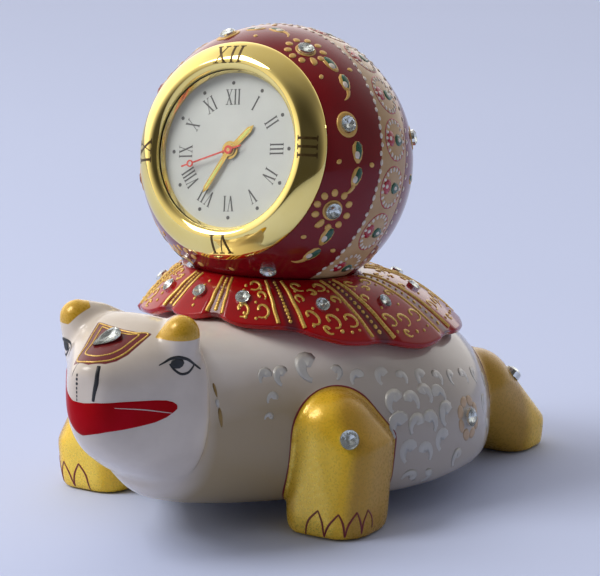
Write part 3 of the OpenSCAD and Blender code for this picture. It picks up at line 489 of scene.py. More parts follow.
def outsideHull(hull, points):  # how far points lie outside a leg, in mm
    normals = np.array([f.normal for f in hull.faces])
    offsets = np.array([f.normal.dot(f.verts[0].co) for f in hull.faces])
    low = np.array([min(v.co[k] for v in hull.verts) for k in range(3)]) - 0.006
    high = np.array([max(v.co[k] for v in hull.verts) for k in range(3)]) + 0.006
    near = np.all((points > low) & (points < high), axis=1)
    away = np.full(len(points), 9.0)
    away[near] = (points[near] @ normals.T - offsets).max(axis=1) / mm
    return away


def outlineDistance(u, v, outline):  # inside is positive, in the outline's own units
    inside = np.zeros(len(u), bool)
    best = np.full(len(u), 1e9)
    for (ax, ay), (bx, by) in zip(outline, outline[1:] + outline[:1]):
        dx, dy = bx - ax, by - ay
        k = np.clip(((u - ax) * dx + (v - ay) * dy) / (dx * dx + dy * dy), 0, 1)
        best = np.minimum(best, np.hypot(u - ax - k * dx, v - ay - k * dy))
        cross = (ay > v) != (by > v)
        with np.errstate(divide="ignore", invalid="ignore"):
            inside ^= cross & (u < ax + (v - ay) * dx / dy)
    return np.where(inside, best, -best)


# Painted areas of the head, in mm from above
face = {
    "centreY": -44.0, "browBack": -44, "browLow": 37,
    "forehead": [(-6.5, -49.7), (-2.8, -50.8), (1.2, -51.4), (4.2, -51.3), (7.0, -50.4), (6.4, -53.8),
                 (5.7, -56.8), (4.6, -59.2), (3.2, -60.9), (0.2, -62.5), (-3.9, -61.7), (-4.6, -57.4),
                 (-5.6, -53.6)],
    "earBack": -38, "earApart": 6.5, "earLow": 44.95, "earTip": (12.6, -47.46), "earRidge": (-0.68, 0.733),
    "earGold": 2.3, "earInner": 8.7, "earSlant": 12.0, "earLean": 0.86, "foreheadMiddle": (0.2, -54.6),
}
# Painted neck shade, darker flank, painted back highlight: where each begins or ends, and over how many mm
shades = {
    "neckFront": (-44, 6), "neckBack": (-10, 10), "neckTop": (35, 10), "flankFront": (-20, 10),
    "flankTop": (36, 6), "backLow": (31, 7), "backFront": (-38, 4),
}
# Painted shade and a painted highlight on the gold: weights of the way a surface faces, sideways and
# to the back, then where the shade or highlight begins and over how much it fades
gilding = {
    "legFront": -36, "legBack": 10,
    "goldShadeWay": (0.848, 0.53), "bronze": (-0.05, 0.32), "rearGoldShade": (1, 4),
    "earWay": (0.5, -0.6), "ear": (-0.1, 0.5), "earShare": 0.8,
    "goldHighlightWay": (-0.1, -0.99), "goldHighlight": (0.86, 0.1), "goldHighlightInner": (-0.42, 0.2),
}
unpainted = -9  # a distance well outside any painted field


def fadeIn(values, start, width):
    return np.clip((values - start) / width, 0, 1)


def fadeOut(values, end, width):
    return np.clip((end - values) / width, 0, 1)


def carveTortoise(legs):
    bm = bmesh.new()
    for point, run in ((torsoPoint, torsoRun), (headPoint, headRun)):
        part = bmesh.new()
        first, last = run[0][0], run[-1][0]
        gridLoft(part, lambda s, a: point(first + (last - first) * s, a), 120, 110)
        bm.from_mesh(meshFrom(part, "part"))
    for hull in legs + earHulls():
        bm.from_mesh(meshFrom(hull.copy(), "part"))
    skin = applied("tortoise", meshFrom(bm, "tortoise"), "REMESH", mode="VOXEL",
                   voxel_size=tortoise["voxel"] * mm)
    bm = bmesh.new()
    bm.from_mesh(skin)
    for _ in range(tortoise["polish"]):
        bmesh.ops.smooth_vert(bm, verts=bm.verts, factor=0.5, use_axis_x=True, use_axis_y=True,
                              use_axis_z=True)
    for v in bm.verts:
        v.co.z = max(v.co.z, 0.0)
    return meshFrom(bm, "tortoiseSkin")


def buildTortoise():
    legs = legHulls()
    skin = carveTortoise(legs)
    points, normals = np.empty(len(skin.vertices) * 3), np.empty(len(skin.vertices) * 3)
    skin.vertices.foreach_get("co", points)
    skin.vertex_normals.foreach_get("vector", normals)
    points = points.reshape(-1, 3)
    x, y, z = (points / mm).T
    nx, ny = normals.reshape(-1, 3).T[:2]
    outward = nx * np.sign(x)
    away = np.min([outsideHull(hull, points) for hull in legs], axis=0)

    # gilt ears: over a line, in front of the ridge and outside the inner edge
    ear = x - tortoise["earShift"]
    (tipX, tipY), (ridgeX, ridgeY) = face["earTip"], face["earRidge"]
    ridge = (np.abs(ear) - tipX) * ridgeX + (y - tipY) * ridgeY
    slant = -ear - face["earSlant"] + face["earLean"] * (z - face["earLow"])
    inner = np.where(x > 0, ear - face["earInner"], slant)
    ears = np.minimum(np.minimum(z - face["earLow"], face["earGold"] - ridge), inner)
    onEars = (y < face["earBack"]) & (np.abs(x) > face["earApart"])
    gold = np.maximum(tortoise["goldReach"] - away, np.where(onEars, ears, unpainted))

    # painted shade: darker gold on the outer side of the front legs, the front half of the rear legs and the
    # front of the ears
    a, b = gilding["goldShadeWay"]
    bronze = fadeIn(a * outward + b * ny, *gilding["bronze"]) * (y > gilding["legFront"])
    inset, soft = gilding["rearGoldShade"]
    bronze = np.where(y > gilding["legBack"], fadeOut(y, rearLegY - inset, soft), bronze)
    a, b = gilding["earWay"]
    earGoldShade = gilding["earShare"] * fadeIn(a * nx + b * ny, *gilding["ear"])
    bronze = np.where((y < face["earBack"]) & (z > face["earLow"] - 1), earGoldShade, bronze)
    # painted highlight: paler, shinier gold in a band down the front of the front legs
    a, b = gilding["goldHighlightWay"]
    goldHighlight = fadeIn(a * outward + b * ny, *gilding["goldHighlight"]) * fadeIn(outward, *gilding["goldHighlightInner"])
    goldHighlight = goldHighlight * (y > gilding["legFront"]) * (y < gilding["legBack"])

    # painted shade on the lower neck, a darker flank low down and to the rear, a painted highlight high on
    # the body
    neck = fadeIn(y, *shades["neckFront"]) * fadeOut(y, *shades["neckBack"]) * fadeOut(z, *shades["neckTop"])
    flank = fadeIn(y, *shades["flankFront"]) * fadeOut(z, *shades["flankTop"])
    back = fadeIn(z, *shades["backLow"]) * fadeIn(y, *shades["backFront"])
    onBrow = (y < face["browBack"]) & (z > face["browLow"])
    brow = np.where(onBrow, outlineDistance(x, y, face["forehead"]), unpainted)
    layers = {"goldPaint": gold, "browPaint": brow, "neckTone": neck, "flankTone": flank, "backTone": back,
              "goldShadeTone": bronze, "goldHighlightTone": goldHighlight}
    for name, values in layers.items():
        skin.attributes.new(name, "FLOAT", "POINT").data.foreach_set("value", values.astype(np.float32))
    return skin, tortoise["goldReach"] - away


# Polished marble with its painted fields
marble = {
    # the neck colour is a painted shade; the back colour on the next line is a painted highlight
    "pale": (0.74, 0.66, 0.57), "grey": (0.58, 0.51, 0.44), "neck": (0.42, 0.33, 0.20),
    "flank": (0.47, 0.42, 0.37), "back": (0.93, 0.87, 0.81), "maroon": (0.16, 0.014, 0.016),
    # the darkest gold here is a painted shade on the gilt
    "gold": (0.96, 0.63, 0.04), "goldDeep": (0.78, 0.47, 0.025), "bronze": (0.50, 0.285, 0.025),
    # the leaf colour and its shine are a painted highlight on the gold
    "leaf": (0.98, 0.68, 0.09), "goldShine": 0.15, "highlightShine": 0.3,
}


def blendOver(tree, under, over, factor):  # one colour laid over another by a mask
    blend = addNode(tree, "ShaderNodeMix", {"data_type": "RGBA"})
    tree.links.new(factor, blend.inputs["Factor"])
    tree.links.new(under, blend.inputs[6])
    if isinstance(over, tuple):
        blend.inputs[7].default_value = (*over, 1)
    else:
        tree.links.new(over, blend.inputs[7])
    return blend.outputs[2]


def makeMarble():
    material, tree, shader = startMaterial("paintedMarble")
    veins = useGroup(tree, mottle, Scale=55, Spread=0.2, Colour_A=(*marble["pale"], 1),
                     Colour_B=(*marble["grey"], 1))
    goldTone = useGroup(tree, mottle, Scale=70, Spread=0.25, Colour_A=(*marble["gold"], 1),
                        Colour_B=(*marble["goldDeep"], 1))
    cells = useGroup(tree, flake, Scale=2600, Depth=0.00002)
    grain = useGroup(tree, relief, Scale=160, Depth=0.00006)
    colour, masks = veins.outputs["Colour"], {}
    for layer in ("neck", "flank", "back"):  # painted neck shade, darker flank, painted back highlight
        tone = addNode(tree, "ShaderNodeAttribute", {"attribute_name": layer + "Tone"})
        colour = blendOver(tree, colour, marble[layer], tone.outputs["Fac"])
    # darker gold laid over the gilt as a painted shade
    bronze = addNode(tree, "ShaderNodeAttribute", {"attribute_name": "goldShadeTone"})
    gilt = blendOver(tree, goldTone.outputs["Colour"], marble["bronze"], bronze.outputs["Fac"])
    # paler gold laid over the gilt as a painted highlight
    goldHighlight = addNode(tree, "ShaderNodeAttribute", {"attribute_name": "goldHighlightTone"})
    gilt = blendOver(tree, gilt, marble["leaf"], goldHighlight.outputs["Fac"])
    for layer, source in (("goldPaint", gilt), ("browPaint", marble["maroon"])):
        distance = addNode(tree, "ShaderNodeAttribute", {"attribute_name": layer})
        masks[layer] = useGroup(tree, paintEdge, Softness=0.07)
        wire(tree, distance, "Fac", masks[layer], "Distance")
        colour = blendOver(tree, colour, source, masks[layer].outputs["Mask"])
    tree.links.new(colour, shader.inputs["Base Color"])
    glint = addNode(tree, "ShaderNodeMapRange", To_Min=marble["goldShine"], To_Max=marble["highlightShine"])
    wire(tree, goldHighlight, "Fac", glint, "Value")
    shine = addNode(tree, "ShaderNodeMath", {"operation": "MULTIPLY"})
    wire(tree, masks["goldPaint"], "Mask", shine, 0)
    wire(tree, glint, "Result", shine, 1)
    wire(tree, shine, 0, shader, "Metallic")
    polish = addNode(tree, "ShaderNodeMapRange", To_Min=0.12, To_Max=0.22)
    wire(tree, veins, "Mask", polish, "Value")
    flakeRough = addNode(tree, "ShaderNodeMapRange", To_Min=0.2, To_Max=0.42)
    wire(tree, cells, "Tone", flakeRough, "Value")
    rough = addNode(tree, "ShaderNodeMix", {"data_type": "FLOAT"})
    wire(tree, masks["goldPaint"], "Mask", rough, "Factor")
    tree.links.new(polish.outputs[0], rough.inputs[2])
    tree.links.new(flakeRough.outputs[0], rough.inputs[3])
    tree.links.new(rough.outputs[0], shader.inputs["Roughness"])
    rest = addNode(tree, "ShaderNodeMapRange", To_Min=1.0, To_Max=0.15)  # the side with the painted shade is smoother
    wire(tree, bronze, "Fac", rest, "Value")
    leafed = addNode(tree, "ShaderNodeMath", {"operation": "MULTIPLY"})
    wire(tree, masks["goldPaint"], "Mask", leafed, 0)
    wire(tree, rest, "Result", leafed, 1)
    sparkle = addNode(tree, "ShaderNodeMath", {"operation": "MULTIPLY"})
    wire(tree, cells, "Height", sparkle, 0)
    wire(tree, leafed, 0, sparkle, 1)
    height = addNode(tree, "ShaderNodeMath", {"operation": "ADD"})
    wire(tree, sparkle, 0, height, 0)
    wire(tree, grain, "Height", height, 1)
    addBump(tree, shader, height, 0)
    shader.inputs["Specular IOR Level"].default_value = 0.35
    shader.inputs["Subsurface Weight"].default_value = 0.2
    shader.inputs["Subsurface Radius"].default_value = (1.0, 0.92, 0.86)
    shader.inputs["Subsurface Scale"].default_value = 0.003
    shader.inputs["Coat Weight"].default_value = 0.25
    shader.inputs["Coat Roughness"].default_value = 0.08
    return material


tortoiseMesh, legDepth = buildTortoise()
tortoiseTree = treeOf(tortoiseMesh)
tortoiseSkin = newPiece("tortoiseSkin", tortoiseMesh, makeMarble(), "figure")
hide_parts("tortoise_body")
print("tortoise:", len(tortoiseMesh.polygons), "faces")

# Shell, panels and hem as on the solid
shell = {
    "width": 67, "length": 76, "height": 14.2, "hemRise": 5.7, "topZ": 47.7, "tilt": 5, "flute": 0.7,
    "seat": 18.0, "panels": [-120, -97, -75, -40, -7, 30, 62, 95, 130, 165, 203], "hemY": 12.177,
    "around": 420, "down": 60, "red": (0.42, 0.003, 0.005), "deepRed": (0.28, 0.002, 0.004),
    "groove": (0.13, 0.012, 0.017), "grooveTop": 0.55, "grooveSpread": 0.75, "grooveEdge": 1.6,
    # rolled hem: share of the rows, scale about the middle, drop in mm
    "lip": [(0.70, 1.0, 0.0), (0.76, 0.99, 0.75), (0.82, 0.965, 1.15), (0.88, 0.93, 1.1), (0.94, 0.82, 0.4),
            (1.0, 0.5, 0.3)],
}
ball = {
    "radius": 28.65, "y": 5.818, "z": 70.0043, "tilt": 16, "roll": 7, "faceAt": 17.6086, "seatAt": 22.28,
    "bore": 20.0, "boreDepth": 6.4, "tubeBore": 15.2, "tubeDepth": 23.0,
    "maroon": (0.24, 0.004, 0.008), "deepMaroon": (0.15, 0.003, 0.007), "tan": (0.46, 0.27, 0.12),
    "tanLight": (0.56, 0.37, 0.19), "bandAt": 89.5, "bandHalf": 10.0,
}
glueGap = 0.1
shellTopY = ball["y"] - (ball["seatAt"] + glueGap) * sin(radians(shell["tilt"]))
shellMatrix = Matrix.Translation(Vector((0, shellTopY, shell["topZ"])) * mm) @ Matrix.Rotation(
    -radians(shell["tilt"]), 4, "X")


def panelEnds(i):  # bearings of one panel's middle and of the next one's
    dirs = shell["panels"]
    return dirs[i], dirs[i + 1] if i + 1 < len(dirs) else dirs[0] + 360


def panelShare(a):  # -0.5 to 0.5 from the middle of one panel to the groove
    b = degrees(a) - 360 * floor((degrees(a) - shell["panels"][0]) / 360)
    i = sum(1 for d in shell["panels"] if d <= b) - 1
    here, after = panelEnds(i)
    u = (b - here) / (after - here)
    return u if u < 0.5 else u - 1


def shellPoint(a, s, k=1.0, drop=0.0):
    share = panelShare(a)
    wave = 0.5 + 0.5 * cos(2 * pi * share)
    u = min(1, max(0, (abs(share) - 0.30) / 0.10))
    bulge = 0.5 * wave - shell["flute"] * u * u * (3 - 2 * u)
    lift = (1 if sin(a) < 0 else 0.35) * shell["hemRise"] * sin(a) ** 2
    low = shell["height"] - lift + 0.9 * (wave - 0.5)
    top = shell["seat"] + 0.8
    rx = top + (shell["width"] / 2 - top + bulge) * s
    ry = top + (shell["length"] / 2 - top + bulge) * s
    y = shell["hemY"] * s + ry * sin(a)
    local = Vector((rx * cos(a) * k, shell["hemY"] * s + (y - shell["hemY"] * s) * k,
                    (1.2 - low) * s ** (1.55 + 0.35 * sin(a)) - drop))
    return shellMatrix @ (local * mm)


def shellPlace(row, a):  # top face, then the rolled hem and the underside
    lip = shell["lip"]
    if row <= lip[0][0]:
        return shellPoint(a, row / lip[0][0])
    for (r0, k0, d0), (r1, k1, d1) in zip(lip, lip[1:]):
        if row <= r1 + 1e-9:
            u = (row - r0) / (r1 - r0)
            return shellPoint(a, 1, k0 + (k1 - k0) * u, d0 + (d1 - d0) * u)


def enamel(name, colourA, colourB, scale):
    material, tree, shader = startMaterial(name)
    clouds = useGroup(tree, mottle, Scale=scale, Spread=0.25, Colour_A=(*colourA, 1), Colour_B=(*colourB, 1))
    waves = useGroup(tree, relief, Scale=170, Depth=0.0001)
    rough = addNode(tree, "ShaderNodeMapRange", To_Min=0.12, To_Max=0.24)
    wire(tree, clouds, "Mask", rough, "Value")
    wire(tree, rough, "Result", shader, "Roughness")
    addBump(tree, shader, waves, "Height")
    shader.inputs["Specular IOR Level"].default_value = 0.1
    shader.inputs["Coat Weight"].default_value = 0.45
    shader.inputs["Coat Roughness"].default_value = 0.03
    return material, tree, shader, clouds


def grooveTones(mesh):  # darker red along the grooves, wider at the hem
    steps = 40
    grooves = KDTree(len(shell["panels"]) * (steps + 1))
    for i in range(len(shell["panels"])):
        middle = radians(sum(panelEnds(i)) / 2)
        for k in range(steps + 1):
            grooves.insert(shellPoint(middle, k / steps), k)
    grooves.balance()
    tones = []
    for v in mesh.vertices:
        k, distance = grooves.find(v.co)[1:]
        width = (shell["grooveTop"] + shell["grooveSpread"] * k / steps) * mm
        tones.append(min(1, max(0, shell["grooveEdge"] - distance / width)))
    return tones


bm = bmesh.new()
gridLoft(bm, shellPlace, shell["around"], shell["down"])
shellMesh = meshFrom(bm, "shellSkin")
shellTree = treeOf(shellMesh)
shellMesh.attributes.new("grooveTone", "FLOAT", "POINT").data.foreach_set("value", grooveTones(shellMesh))
shellPaint, tree, shader, clouds = enamel("shellEnamel", shell["red"], shell["deepRed"], 70)
grooveTone = addNode(tree, "ShaderNodeAttribute", {"attribute_name": "grooveTone"})
shellRed = blendOver(tree, clouds.outputs["Colour"], shell["groove"], grooveTone.outputs["Fac"])
tree.links.new(shellRed, shader.inputs["Base Color"])
shellSkin = newPiece("shellSkin", shellMesh, shellPaint, "figure")
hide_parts("shell_cap")
print("shell:", len(shellMesh.polygons), "faces")

# Ball, with the hole for the clock; its pole is the dial axis
ballMatrix = Matrix.Translation(Vector((0, ball["y"], ball["z"])) * mm) @ Matrix.Rotation(
    radians(90 - ball["tilt"]), 4, "X")


def ballPoint(polar, around):
    p, a = radians(polar), radians(around)
    return ballMatrix @ (Vector((sin(p) * cos(a), sin(p) * sin(a), cos(p))) * ball["radius"] * mm)


def ringOf(bm, test):  # rim edges that a test on the vertices picks
    return [e for e in bm.edges if e.is_boundary and all(test(v.co) for v in e.verts)]


def stepRing(bm, edges, scale, drop):  # extrudes a rim about the dial axis
    verts = vertsIn(bmesh.ops.extrude_edge_only(bm, edges=edges)["geom"])
    for v in verts:
        v.co = Vector((v.co.x * scale, v.co.y * scale, v.co.z - drop * mm))
    return [e for e in bm.edges if e.is_boundary and e.verts[0] in verts and e.verts[1] in verts]


def buildBall():
    bm = bmesh.new()
    bmesh.ops.create_uvsphere(bm, u_segments=160, v_segments=120, radius=ball["radius"] * mm)
    flat = ball["faceAt"] * mm
    shellTurn = Matrix.Rotation(-radians(shell["tilt"]), 3, "X")
    down = ballMatrix.inverted().to_3x3() @ shellTurn @ Vector((0, 0, -1))
    for spot, normal in (((0, 0, flat), (0, 0, 1)), (down * ball["seatAt"] * mm, down)):
        geom = bm.verts[:] + bm.edges[:] + bm.faces[:]
        bmesh.ops.bisect_plane(bm, geom=geom, dist=1e-7, plane_co=spot, plane_no=normal, clear_outer=True)
    rim = ringOf(bm, lambda co: abs(co.z - flat) < 1e-5)
    seat = [e for e in bm.edges if e.is_boundary and e not in set(rim)]
    bmesh.ops.holes_fill(bm, edges=seat, sides=0)
    faceRadius = sqrt(ball["radius"] ** 2 - ball["faceAt"] ** 2)
    rim = stepRing(bm, rim, ball["bore"] / faceRadius, 0)
    rim = stepRing(bm, rim, 1, ball["boreDepth"])
    rim = stepRing(bm, rim, ball["tubeBore"] / ball["bore"], 0)
    rim = stepRing(bm, rim, 1, ball["tubeDepth"] - ball["boreDepth"])
    bmesh.ops.holes_fill(bm, edges=rim, sides=0)
    bmesh.ops.recalc_face_normals(bm, faces=bm.faces)
    polar = [degrees(v.co.angle(Vector((0, 0, 1)))) if v.co.length > (ball["radius"] - 0.2) * mm else 0
             for v in bm.verts]
    bmesh.ops.transform(bm, matrix=ballMatrix, verts=bm.verts)
    mesh = meshFrom(bm, "ballSkin")
    mesh.attributes.new("polar", "FLOAT", "POINT").data.foreach_set("value", polar)
    return mesh


def makeBallPaint():
    material, tree, shader, clouds = enamel("ballEnamel", ball["maroon"], ball["deepMaroon"], 45)
    tan = useGroup(tree, mottle, Scale=240, Spread=0.25, Colour_A=(*ball["tan"], 1),
                   Colour_B=(*ball["tanLight"], 1))
    polar = addNode(tree, "ShaderNodeAttribute", {"attribute_name": "polar"})
    offset = addNode(tree, "ShaderNodeMath", {"operation": "SUBTRACT"})
    offset.inputs[1].default_value = ball["bandAt"]
    away = addNode(tree, "ShaderNodeMath", {"operation": "ABSOLUTE"})
    half = addNode(tree, "ShaderNodeMath", {"operation": "SUBTRACT"})
    half.inputs[0].default_value = ball["bandHalf"]
    edge = useGroup(tree, paintEdge, Softness=0.25)
    wire(tree, polar, "Fac", offset, 0)
    wire(tree, offset, 0, away, 0)
    wire(tree, away, 0, half, 1)
    wire(tree, half, 0, edge, "Distance")
    colour = blendOver(tree, clouds.outputs["Colour"], tan.outputs["Colour"], edge.outputs["Mask"])
    tree.links.new(colour, shader.inputs["Base Color"])
    return material


ballMesh = buildBall()
ballTree = treeOf(ballMesh)
ballSkin = newPiece("ballSkin", ballMesh, makeBallPaint(), "figure")
ballSkin.modifiers.new("creases", "EDGE_SPLIT").split_angle = radians(35)
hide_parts("clock_ball")
print("ball:", len(ballMesh.polygons), "faces")

# Clock: bezel, numerals and marks; local z is the dial axis, zero at the flat of the ball
clock = {
    "bezel": 22.5, "opening": 16.5, "crest": 18.4, "bezelHeight": 3.7, "shoulder": 0.35, "skirt": 19.42,
    "disc": 17.91, "under": 1.65, "crystalTop": 2.38, "innerLip": 0.3, "dialTop": 0.4,
    "numeralAt": 11.0, "numeralHeight": 3.1, "squeeze": 0.92, "longSqueeze": 0.78, "weight": 0.9,
    "ink": 0.03, "inkLift": 0.012, "dotAt": 13.9, "dot": 0.8,
    "bezelNumeralAt": 19.5, "bezelNumeralHeight": 3.6, "bezelSqueeze": 1.5, "bezelWeight": 1.25,
    "proud": 0.04, "sunk": 0.3, "barStep": 0.8,
}
clockMatrix = ballMatrix @ Matrix.Translation((0, 0, ball["faceAt"] * mm)) @ Matrix.Rotation(
    radians(ball["roll"]), 4, "Z")
outerRun = clock["bezel"] - clock["crest"]
innerRun = clock["crest"] - clock["opening"]
bezelRise = clock["bezelHeight"] - clock["shoulder"]
bezelDip = clock["bezelHeight"] - clock["crystalTop"] - clock["innerLip"]


def bezelHeight(r):  # height of the round bezel at a radius
    if r < clock["crest"]:
        inward = (clock["crest"] - r) / innerRun
        return clock["bezelHeight"] - bezelDip * (1 - sqrt(max(0, 1 - inward ** 2)))
    share = min(1, (r - clock["crest"]) / outerRun) ** (2 / 3)
    return clock["shoulder"] + bezelRise * (1 - share * share) ** 0.75


def buildBezel():
    profile = [(clock["skirt"], 0), (clock["bezel"], 0)]
    for k in range(25):
        c, s = max(0, cos(radians(k * 3.75))), sin(radians(k * 3.75))
        profile.append((clock["crest"] + outerRun * c ** 1.5, clock["shoulder"] + bezelRise * s ** 1.5))
    for k in range(1, 11):
        c, s = cos(radians(k * 9)), sin(radians(k * 9))
        profile.append((clock["crest"] - innerRun * s, clock["bezelHeight"] - bezelDip * (1 - c)))
    profile += [(clock["opening"], clock["crystalTop"]), (clock["disc"], clock["crystalTop"]),
                (clock["disc"], clock["under"]), (clock["skirt"], clock["under"])]
    bm = bmesh.new()
    verts = [bm.verts.new(Vector((r, 0, z)) * mm) for r, z in profile]
    edges = [bm.edges.new((a, b)) for a, b in zip(verts, verts[1:] + verts[:1])]
    bmesh.ops.spin(bm, geom=verts + edges, cent=(0, 0, 0), axis=(0, 0, 1), angle=2 * pi, steps=160,
                   use_merge=True)
    bmesh.ops.remove_doubles(bm, verts=bm.verts, dist=1e-7)
    bmesh.ops.recalc_face_normals(bm, faces=bm.faces)
    bmesh.ops.transform(bm, matrix=clockMatrix, verts=bm.verts)
    return meshFrom(bm, "bezelRing")


bezelRing = newPiece("bezelRing", buildBezel(), "polishedGold", "insert")
bezelRing.modifiers.new("creases", "EDGE_SPLIT").split_angle = radians(40)
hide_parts("bezel")

# Roman letters as bars: ends on a unit-high box, with the bar's width
letters = {
    "I": (0.26, [((0.13, 0), (0.13, 1), 0.12), ((0.02, 0), (0.24, 0), 0.045), ((0.02, 1), (0.24, 1), 0.045)]),
    "V": (0.62, [((0.13, 1), (0.33, 0), 0.12), ((0.50, 1), (0.33, 0), 0.05), ((0.02, 1), (0.25, 1), 0.045),
                 ((0.40, 1), (0.60, 1), 0.045)]),
    "X": (0.64, [((0.12, 1), (0.52, 0), 0.12), ((0.50, 1), (0.13, 0), 0.05), ((0.02, 1), (0.25, 1), 0.045),
                 ((0.40, 1), (0.61, 1), 0.045), ((0.02, 0), (0.25, 0), 0.045),
                 ((0.40, 0), (0.62, 0), 0.045)]),
}
hourNames = ["XII", "I", "II", "III", "IV", "V", "VI", "VII", "VIII", "IX", "X", "XI"]


def addBar(bm, start, end, width, thick):  # a bar on the plane, in mm
    run = Vector(end) - Vector(start)
    middle = (Vector(start) + Vector(end)) / 2
    turn = Matrix.Rotation(atan2(run.y, run.x), 4, "Z")
    size = Matrix.Diagonal((run.length * mm, width * mm, thick * mm, 1))
    base = Matrix.Translation((middle.x * mm, middle.y * mm, 0)) @ turn @ size
    return bmesh.ops.create_cube(bm, size=1, matrix=base)["verts"]


def addNumeral(bm, text, hour, radius, height, squeeze, weight, thick):
    gap = 0.06
    total = sum(letters[c][0] for c in text) + gap * (len(text) - 1)
    turn = Matrix.Rotation(-radians(30 * hour), 4, "Z")
    verts, at = [], -total / 2
    for c in text:
        for (ax, ay), (bx, by), width in letters[c][1]:
            a = ((at + ax) * height * squeeze, radius + (ay - 0.5) * height)
            b = ((at + bx) * height * squeeze, radius + (by - 0.5) * height)
            verts += addBar(bm, a, b, width * height * weight, thick)
        at += letters[c][0] + gap
    bmesh.ops.transform(bm, matrix=turn, verts=verts)


bm = bmesh.new()
for hour, text in enumerate(hourNames):
    squeeze = clock["squeeze"] if len(text) < 4 else clock["longSqueeze"]
    addNumeral(bm, text, hour, clock["numeralAt"], clock["numeralHeight"], squeeze, clock["weight"],
               clock["ink"])
dotRadius = clock["dot"] / 2 * mm
for hour in range(12):
    spot = Matrix.Rotation(-radians(30 * hour), 4, "Z") @ Matrix.Translation((0, clock["dotAt"] * mm, 0))
    bmesh.ops.create_cone(bm, cap_ends=True, segments=16, radius1=dotRadius, radius2=dotRadius,
                          depth=clock["ink"] * mm, matrix=spot)
lift = clockMatrix @ Matrix.Translation((0, 0, (clock["dialTop"] + clock["inkLift"]) * mm))
bmesh.ops.transform(bm, matrix=lift, verts=bm.verts)
newPiece("dialMarks", meshFrom(bm, "dialMarks"), "dialInk", "insert", False)

bm = bmesh.new()
for hour in (0, 3, 6, 9):
    addNumeral(bm, hourNames[hour], hour, clock["bezelNumeralAt"], clock["bezelNumeralHeight"],
               clock["bezelSqueeze"], clock["bezelWeight"], 1)
longEdges = [e for e in bm.edges if e.calc_length() > clock["barStep"] * mm]
bmesh.ops.subdivide_edges(bm, edges=longEdges, cuts=6, use_grid_fill=True)
for v in bm.verts:  # laid on the round of the bezel
    over = clock["proud"] if v.co.z > 0 else -clock["sunk"]
    v.co.z = (bezelHeight(hypot(v.co.x, v.co.y) / mm) + over) * mm
bmesh.ops.transform(bm, matrix=clockMatrix, verts=bm.verts)
newPiece("bezelNumerals", meshFrom(bm, "bezelNumerals"), "darkGold", "insert", False)

# Luminous fill of the two hands: body, turn in degrees, height, start, end and width in mm
hands = {
    "hourFill": ("hours", 47.8, 0.88, 2.6, 6.6, 0.75), "minuteFill": ("minutes", 214.2, 1.22, 2.4, 9.7, 0.6),
}
for name, (body, turn, top, start, end, width) in hands.items():
    bm = bmesh.new()
    bmesh.ops.create_cone(bm, cap_ends=True, segments=24, radius1=0.5, radius2=0.42, depth=1)
    size = Matrix.Diagonal((width * mm, (end - start) * mm, 0.08 * mm, 1))
    middle = Matrix.Translation((0, (start + end) / 2 * mm, (top + 0.02) * mm))
    spot = Matrix.Rotation(-radians(turn), 4, "Z") @ middle
    bmesh.ops.transform(bm, matrix=clockMatrix @ spot @ size, verts=bm.verts)
    newPiece(name, meshFrom(bm, name), "lume", body, False)
print("clock dressed")


# Glass stones: a cut crown over a foil dish, in a cup that reaches into the surface
stones = {
    "ball": 3.4, "deep": 0.75, "deepFrom": 120, "shell": 3.0, "shellAt": 0.5, "leg": 4.0, "rearSink": 0.9,
    "cup": 0.5, "cupGap": 0.03, "drop": 3.75, "drawn": 1.6, "dropTaper": 0.55, "dropTurn": 30,
    "dropSeat": 1.3, "dropAt": 0.072, "dropUp": (0.12, -0.62, 0.78), "dropShift": (0.25, 0.7, 0.55),
    "ringPolar": 61.5, "backPolar": 116, "ring": [108, 63, 19, -22, -66, -111, 198, 153],
    "back": [20, 70, 120, 170], "flankAt": 0.66, "flankTurn": 8,
}


def ringEdges(verts):
    return list({e for v in verts for e in v.link_edges if e.other_vert(v) in verts})


